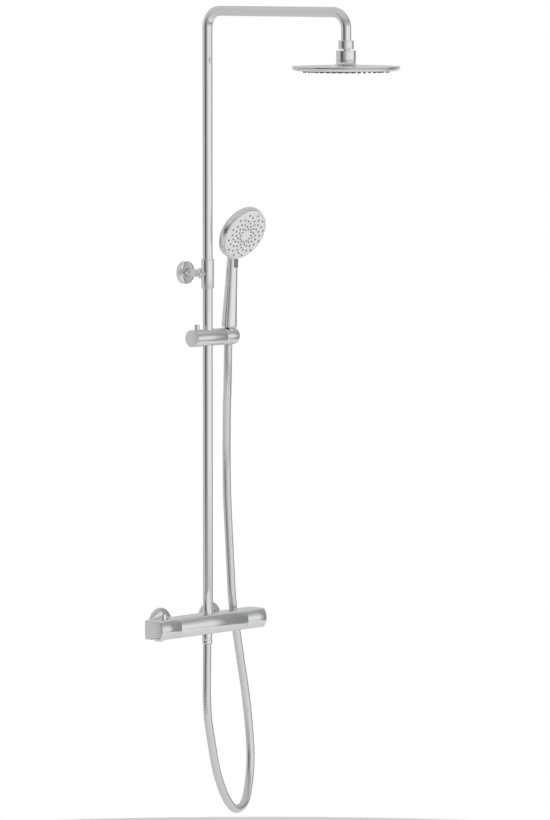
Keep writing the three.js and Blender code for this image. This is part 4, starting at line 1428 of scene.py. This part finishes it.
# ------------------------------------------------------------------ hand shower
@dataclass
class HandShower:
    """The hand shower, modelled upright on its own axis and then leant and turned into its holder."""

    cup: Point = (0.064, -0.063, 0.569)
    lean: float = 3.6
    turn: float = -3.0
    handle: Profile = ((0.0146, 0.0173), (0.0156, 0.0185), (0.0127, 0.0873), (0.0110, 0.1453),
                       (0.0100, 0.1613), (0.006, 0.1683))
    neck_at: Point = (0.0, -0.001, 0.1613)
    neck_size: Point = (0.0120, 0.0110, 0.018)
    neck_lean: float = 10.0
    face_out: float = 0.033
    face_up: float = 0.2035
    face_tilt: float = 23.2
    bowl_front: Profile = ((0.0525, -0.0022), (0.0539, -0.0035), (0.05535, -0.007))
    bowl_radius: float = 0.0562
    bowl_widest: float = -0.014
    bowl_back: float = 0.044
    bowl_rise: float = 0.008
    bowl_steps: int = 14
    bowl_pole: Tuple[float, float] = (0.006, -0.023)
    voxel: float = 0.0012
    smoothing: float = 0.5
    smoothings: int = 12
    rim: Profile = ((0.0506, -0.0042), (0.0532, -0.0042), (0.0535, -0.0030), (0.0535, -0.0010),
                    (0.0526, 0.0), (0.0509, 0.0), (0.0506, -0.0004), (0.0506, -0.0042))
    rim_edge: float = 0.0002
    dish: Profile = ((0.0504, -0.003), (0.0504, -0.0005), (0.0496, -0.0001), (0.0470, 0.0002),
                     (0.0466, 0.0), (0.0462, 0.0002), (0.0100, 0.0005), (0.0094, 0.0002),
                     (0.0088, 0.0005), (0.0020, 0.0006))
    arms: int = 12
    nozzles_per_arm: int = 6
    pattern_inner: float = 0.0144
    pattern_outer: float = 0.0455
    swirl: float = 1.25
    nozzle: Profile = ((0.0019, -0.0002), (0.0017, 0.0006), (0.0012, 0.0014), (0.0006, 0.0014),
                       (0.0005, 0.0009))
    nozzle_lift: float = 0.0004
    button_wide: float = 0.0096
    button_high: float = 0.0166
    button_deep: float = 0.0041
    button_front: float = -0.0124
    button_foot: float = 0.1370
    button_corner: float = 0.0024
    button_edge: float = 0.0007
    hose_nut: Profile = ((0.0084, -0.016), (0.0100, -0.016), (0.0113, 0.0155), (0.0084, 0.0155),
                         (0.0084, -0.016))
    nut_edge: float = 0.0004

    def build(self) -> None:
        """Makes every piece of the hand shower."""
        angle = math.radians(90 + self.face_tilt)
        self.out = Vector((0, -math.sin(angle), math.cos(angle)))
        self.centre = Vector((0, -self.face_out, self.face_up))
        self.upward = Vector((0, self.out.z, -self.out.y))
        lean = Matrix.Rotation(math.radians(self.lean), 4, "X")
        turn = Matrix.Rotation(math.radians(self.turn), 4, "Z")
        self.held = Matrix.Translation(self.cup) @ lean @ turn
        self.shell()
        self.rim_ring()
        self.face()
        self.nozzles()
        self.button()
        self.nut()

    def finish(self, piece: Piece, finish: Finish, slot: str, nodes: Sequence[str],
               body: str = "hand_shower", angle: float = 30.0) -> None:
        """Leans and turns a piece into the holder and dresses it.

        Args:
            piece: The piece, made upright.
            finish: Its finish.
            slot: Its material slot.
            nodes: The CAD nodes that it stands for.
            body: The body that it rides on.
            angle: The turn in degrees past which an edge stays sharp.
        """
        piece.matrix_world = self.held @ piece.matrix_world
        Bench.place_in_mesh(piece)
        Bench.dress(piece, finish, body, slot, nodes, angle)

    def shell(self) -> None:
        """The handle, the neck and the bowl behind the face, melted into one smooth skin."""
        handle = Bench.turned("handset_shell", self.handle)
        back = quarter(self.bowl_radius - self.bowl_back, self.bowl_rise, 0.0, self.bowl_steps)
        bowl = [*self.bowl_front, *[(self.bowl_back + r, self.bowl_widest - z) for r, z in back],
                (self.bowl_back, self.bowl_widest - self.bowl_rise), self.bowl_pole]
        head = Bench.turned("bowl", bowl, self.centre, self.out, sides=Roundness.BROAD)
        Bench.clear()
        bpy.ops.mesh.primitive_uv_sphere_add(
            segments=48, ring_count=24, radius=1, location=self.neck_at,
            rotation=(math.radians(self.neck_lean), 0, 0), scale=self.neck_size)
        neck = bpy.context.object
        Bench.place_in_mesh(neck)
        piece = Bench.join("handset_shell", [handle, head, neck])
        Bench.modify(piece, "REMESH", mode="VOXEL", voxel_size=self.voxel)
        Bench.modify(piece, "SMOOTH", factor=self.smoothing, iterations=self.smoothings)
        self.finish(piece, Finishes.PLATED, "chromed_plastic", ["handset_body"], angle=60)

    def rim_ring(self) -> None:
        """The crisp pale rim round the face."""
        piece = Bench.turned("handset_rim", self.rim, self.centre, self.out, edge=self.rim_edge)
        self.finish(piece, Finishes.FACE, "face_grey", [])

    def face(self) -> None:
        """The pale spray face, a shallow dish with one fine groove and a raised middle."""
        piece = Bench.turned("spray_face", self.dish, self.centre, self.out)
        self.finish(piece, Finishes.FACE, "face_grey", ["handset_spray_face", "handset_nozzle_mat"],
                    angle=20)

    def nozzles(self) -> None:
        """Soft nozzles in curved arms about the face's middle."""
        model = Bench.turned("hand_nozzles", self.nozzle, sides=Roundness.TINY)
        middle = self.centre + self.out * self.nozzle_lift
        right = Vector((1, 0, 0))
        basis = Matrix((right, self.upward, self.out)).transposed().to_4x4()
        places = []
        for arm in range(self.arms):
            for index in range(self.nozzles_per_arm):
                share = index / (self.nozzles_per_arm - 1)
                radius = self.pattern_inner + (self.pattern_outer - self.pattern_inner) * share
                angle = 2 * math.pi * arm / self.arms + self.swirl * share
                spot = middle + (right * math.cos(angle) + self.upward * math.sin(angle)) * radius
                places.append(Matrix.Translation(spot) @ basis)
        piece = Bench.copies("hand_nozzles", model, places)
        self.finish(piece, Finishes.NOZZLE, "button_grey", [], angle=40)

    def button(self) -> None:
        """The mode button on the front of the handle, under the face."""
        deep, high = self.button_deep, self.button_high
        middle = (0, self.button_front + deep / 2, self.button_foot + high / 2)
        Bench.clear()
        bpy.ops.mesh.primitive_cube_add(size=1, location=middle)
        piece = bpy.context.object
        piece.name = "mode_button"
        piece.scale = (self.button_wide, deep, high)
        Bench.place_in_mesh(piece)
        bpy.ops.object.mode_set(mode="EDIT")
        mesh = bmesh.from_edit_mesh(piece.data)
        for edge in mesh.edges:
            edge.select_set(abs(edge.verts[0].co.y - edge.verts[1].co.y) > deep / 2)
        bmesh.update_edit_mesh(piece.data)
        bpy.ops.mesh.bevel(offset=self.button_corner, segments=6, affect="EDGES")
        bpy.ops.object.mode_set(mode="OBJECT")
        Bench.ease(piece, self.button_edge, angle=50)
        self.finish(piece, Finishes.BUTTON, "button_grey", ["handset_mode_button"], body="mode_button")

    def nut(self) -> None:
        """The tapered nut that sits in the holder."""
        piece = Bench.turned("handset_nut", self.hose_nut, edge=self.nut_edge)
        self.finish(piece, Finishes.CHROME, "chrome", ["handset_hose_nut"])


# ------------------------------------------------------------------ inner pieces
class InnerPieces:
    """The pieces that stay as they are and only need their finish."""

    FINISH_OF_SLOT: Dict[str, Finish] = {
        "chrome": Finishes.CHROME, "chromed_plastic": Finishes.PLATED, "brass": Finishes.BRASS,
        "steel": Finishes.STEEL, "rubber": Finishes.RUBBER, "white_plastic": Finishes.NATURAL,
        "face_grey": Finishes.FACE, "nozzle_rubber": Finishes.DARK_NOZZLE, "button_grey": Finishes.BUTTON,
        "anchor_grey": Finishes.ANCHOR, "hose_silver": Finishes.HOSE,
    }

    def dress(self, frame: dict) -> None:
        """Gives every node of the frame the finish of its material slot.
        """
        slots = {row["node"]: row["material_slot"] for row in frame["record"]["subparts"]}
        for name, node in frame["nodes"].items():
            node.data.materials.clear()
            node.data.materials.append(self.FINISH_OF_SLOT[slots[name]].build())
        LOG.info("%d inner nodes dressed", len(frame["nodes"]))


def main() -> None:
    """Builds the looks in order."""
    logging.basicConfig(level=logging.INFO, format="%(message)s")
    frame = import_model()
    studio = Studio()
    studio.camera()
    InnerPieces().dress(frame)
    for assembly in (Hose(), WallUnions(), Mixer(), Riser(), Arm(), RainHead(), Slider(), HandShower()):
        LOG.info("building %s", type(assembly).__name__)
        assembly.build()
    studio.floor()
    studio.key()
    studio.surroundings()
    bpy.context.scene.view_settings.view_transform = "Standard"


if __name__ == "__main__":
    main()
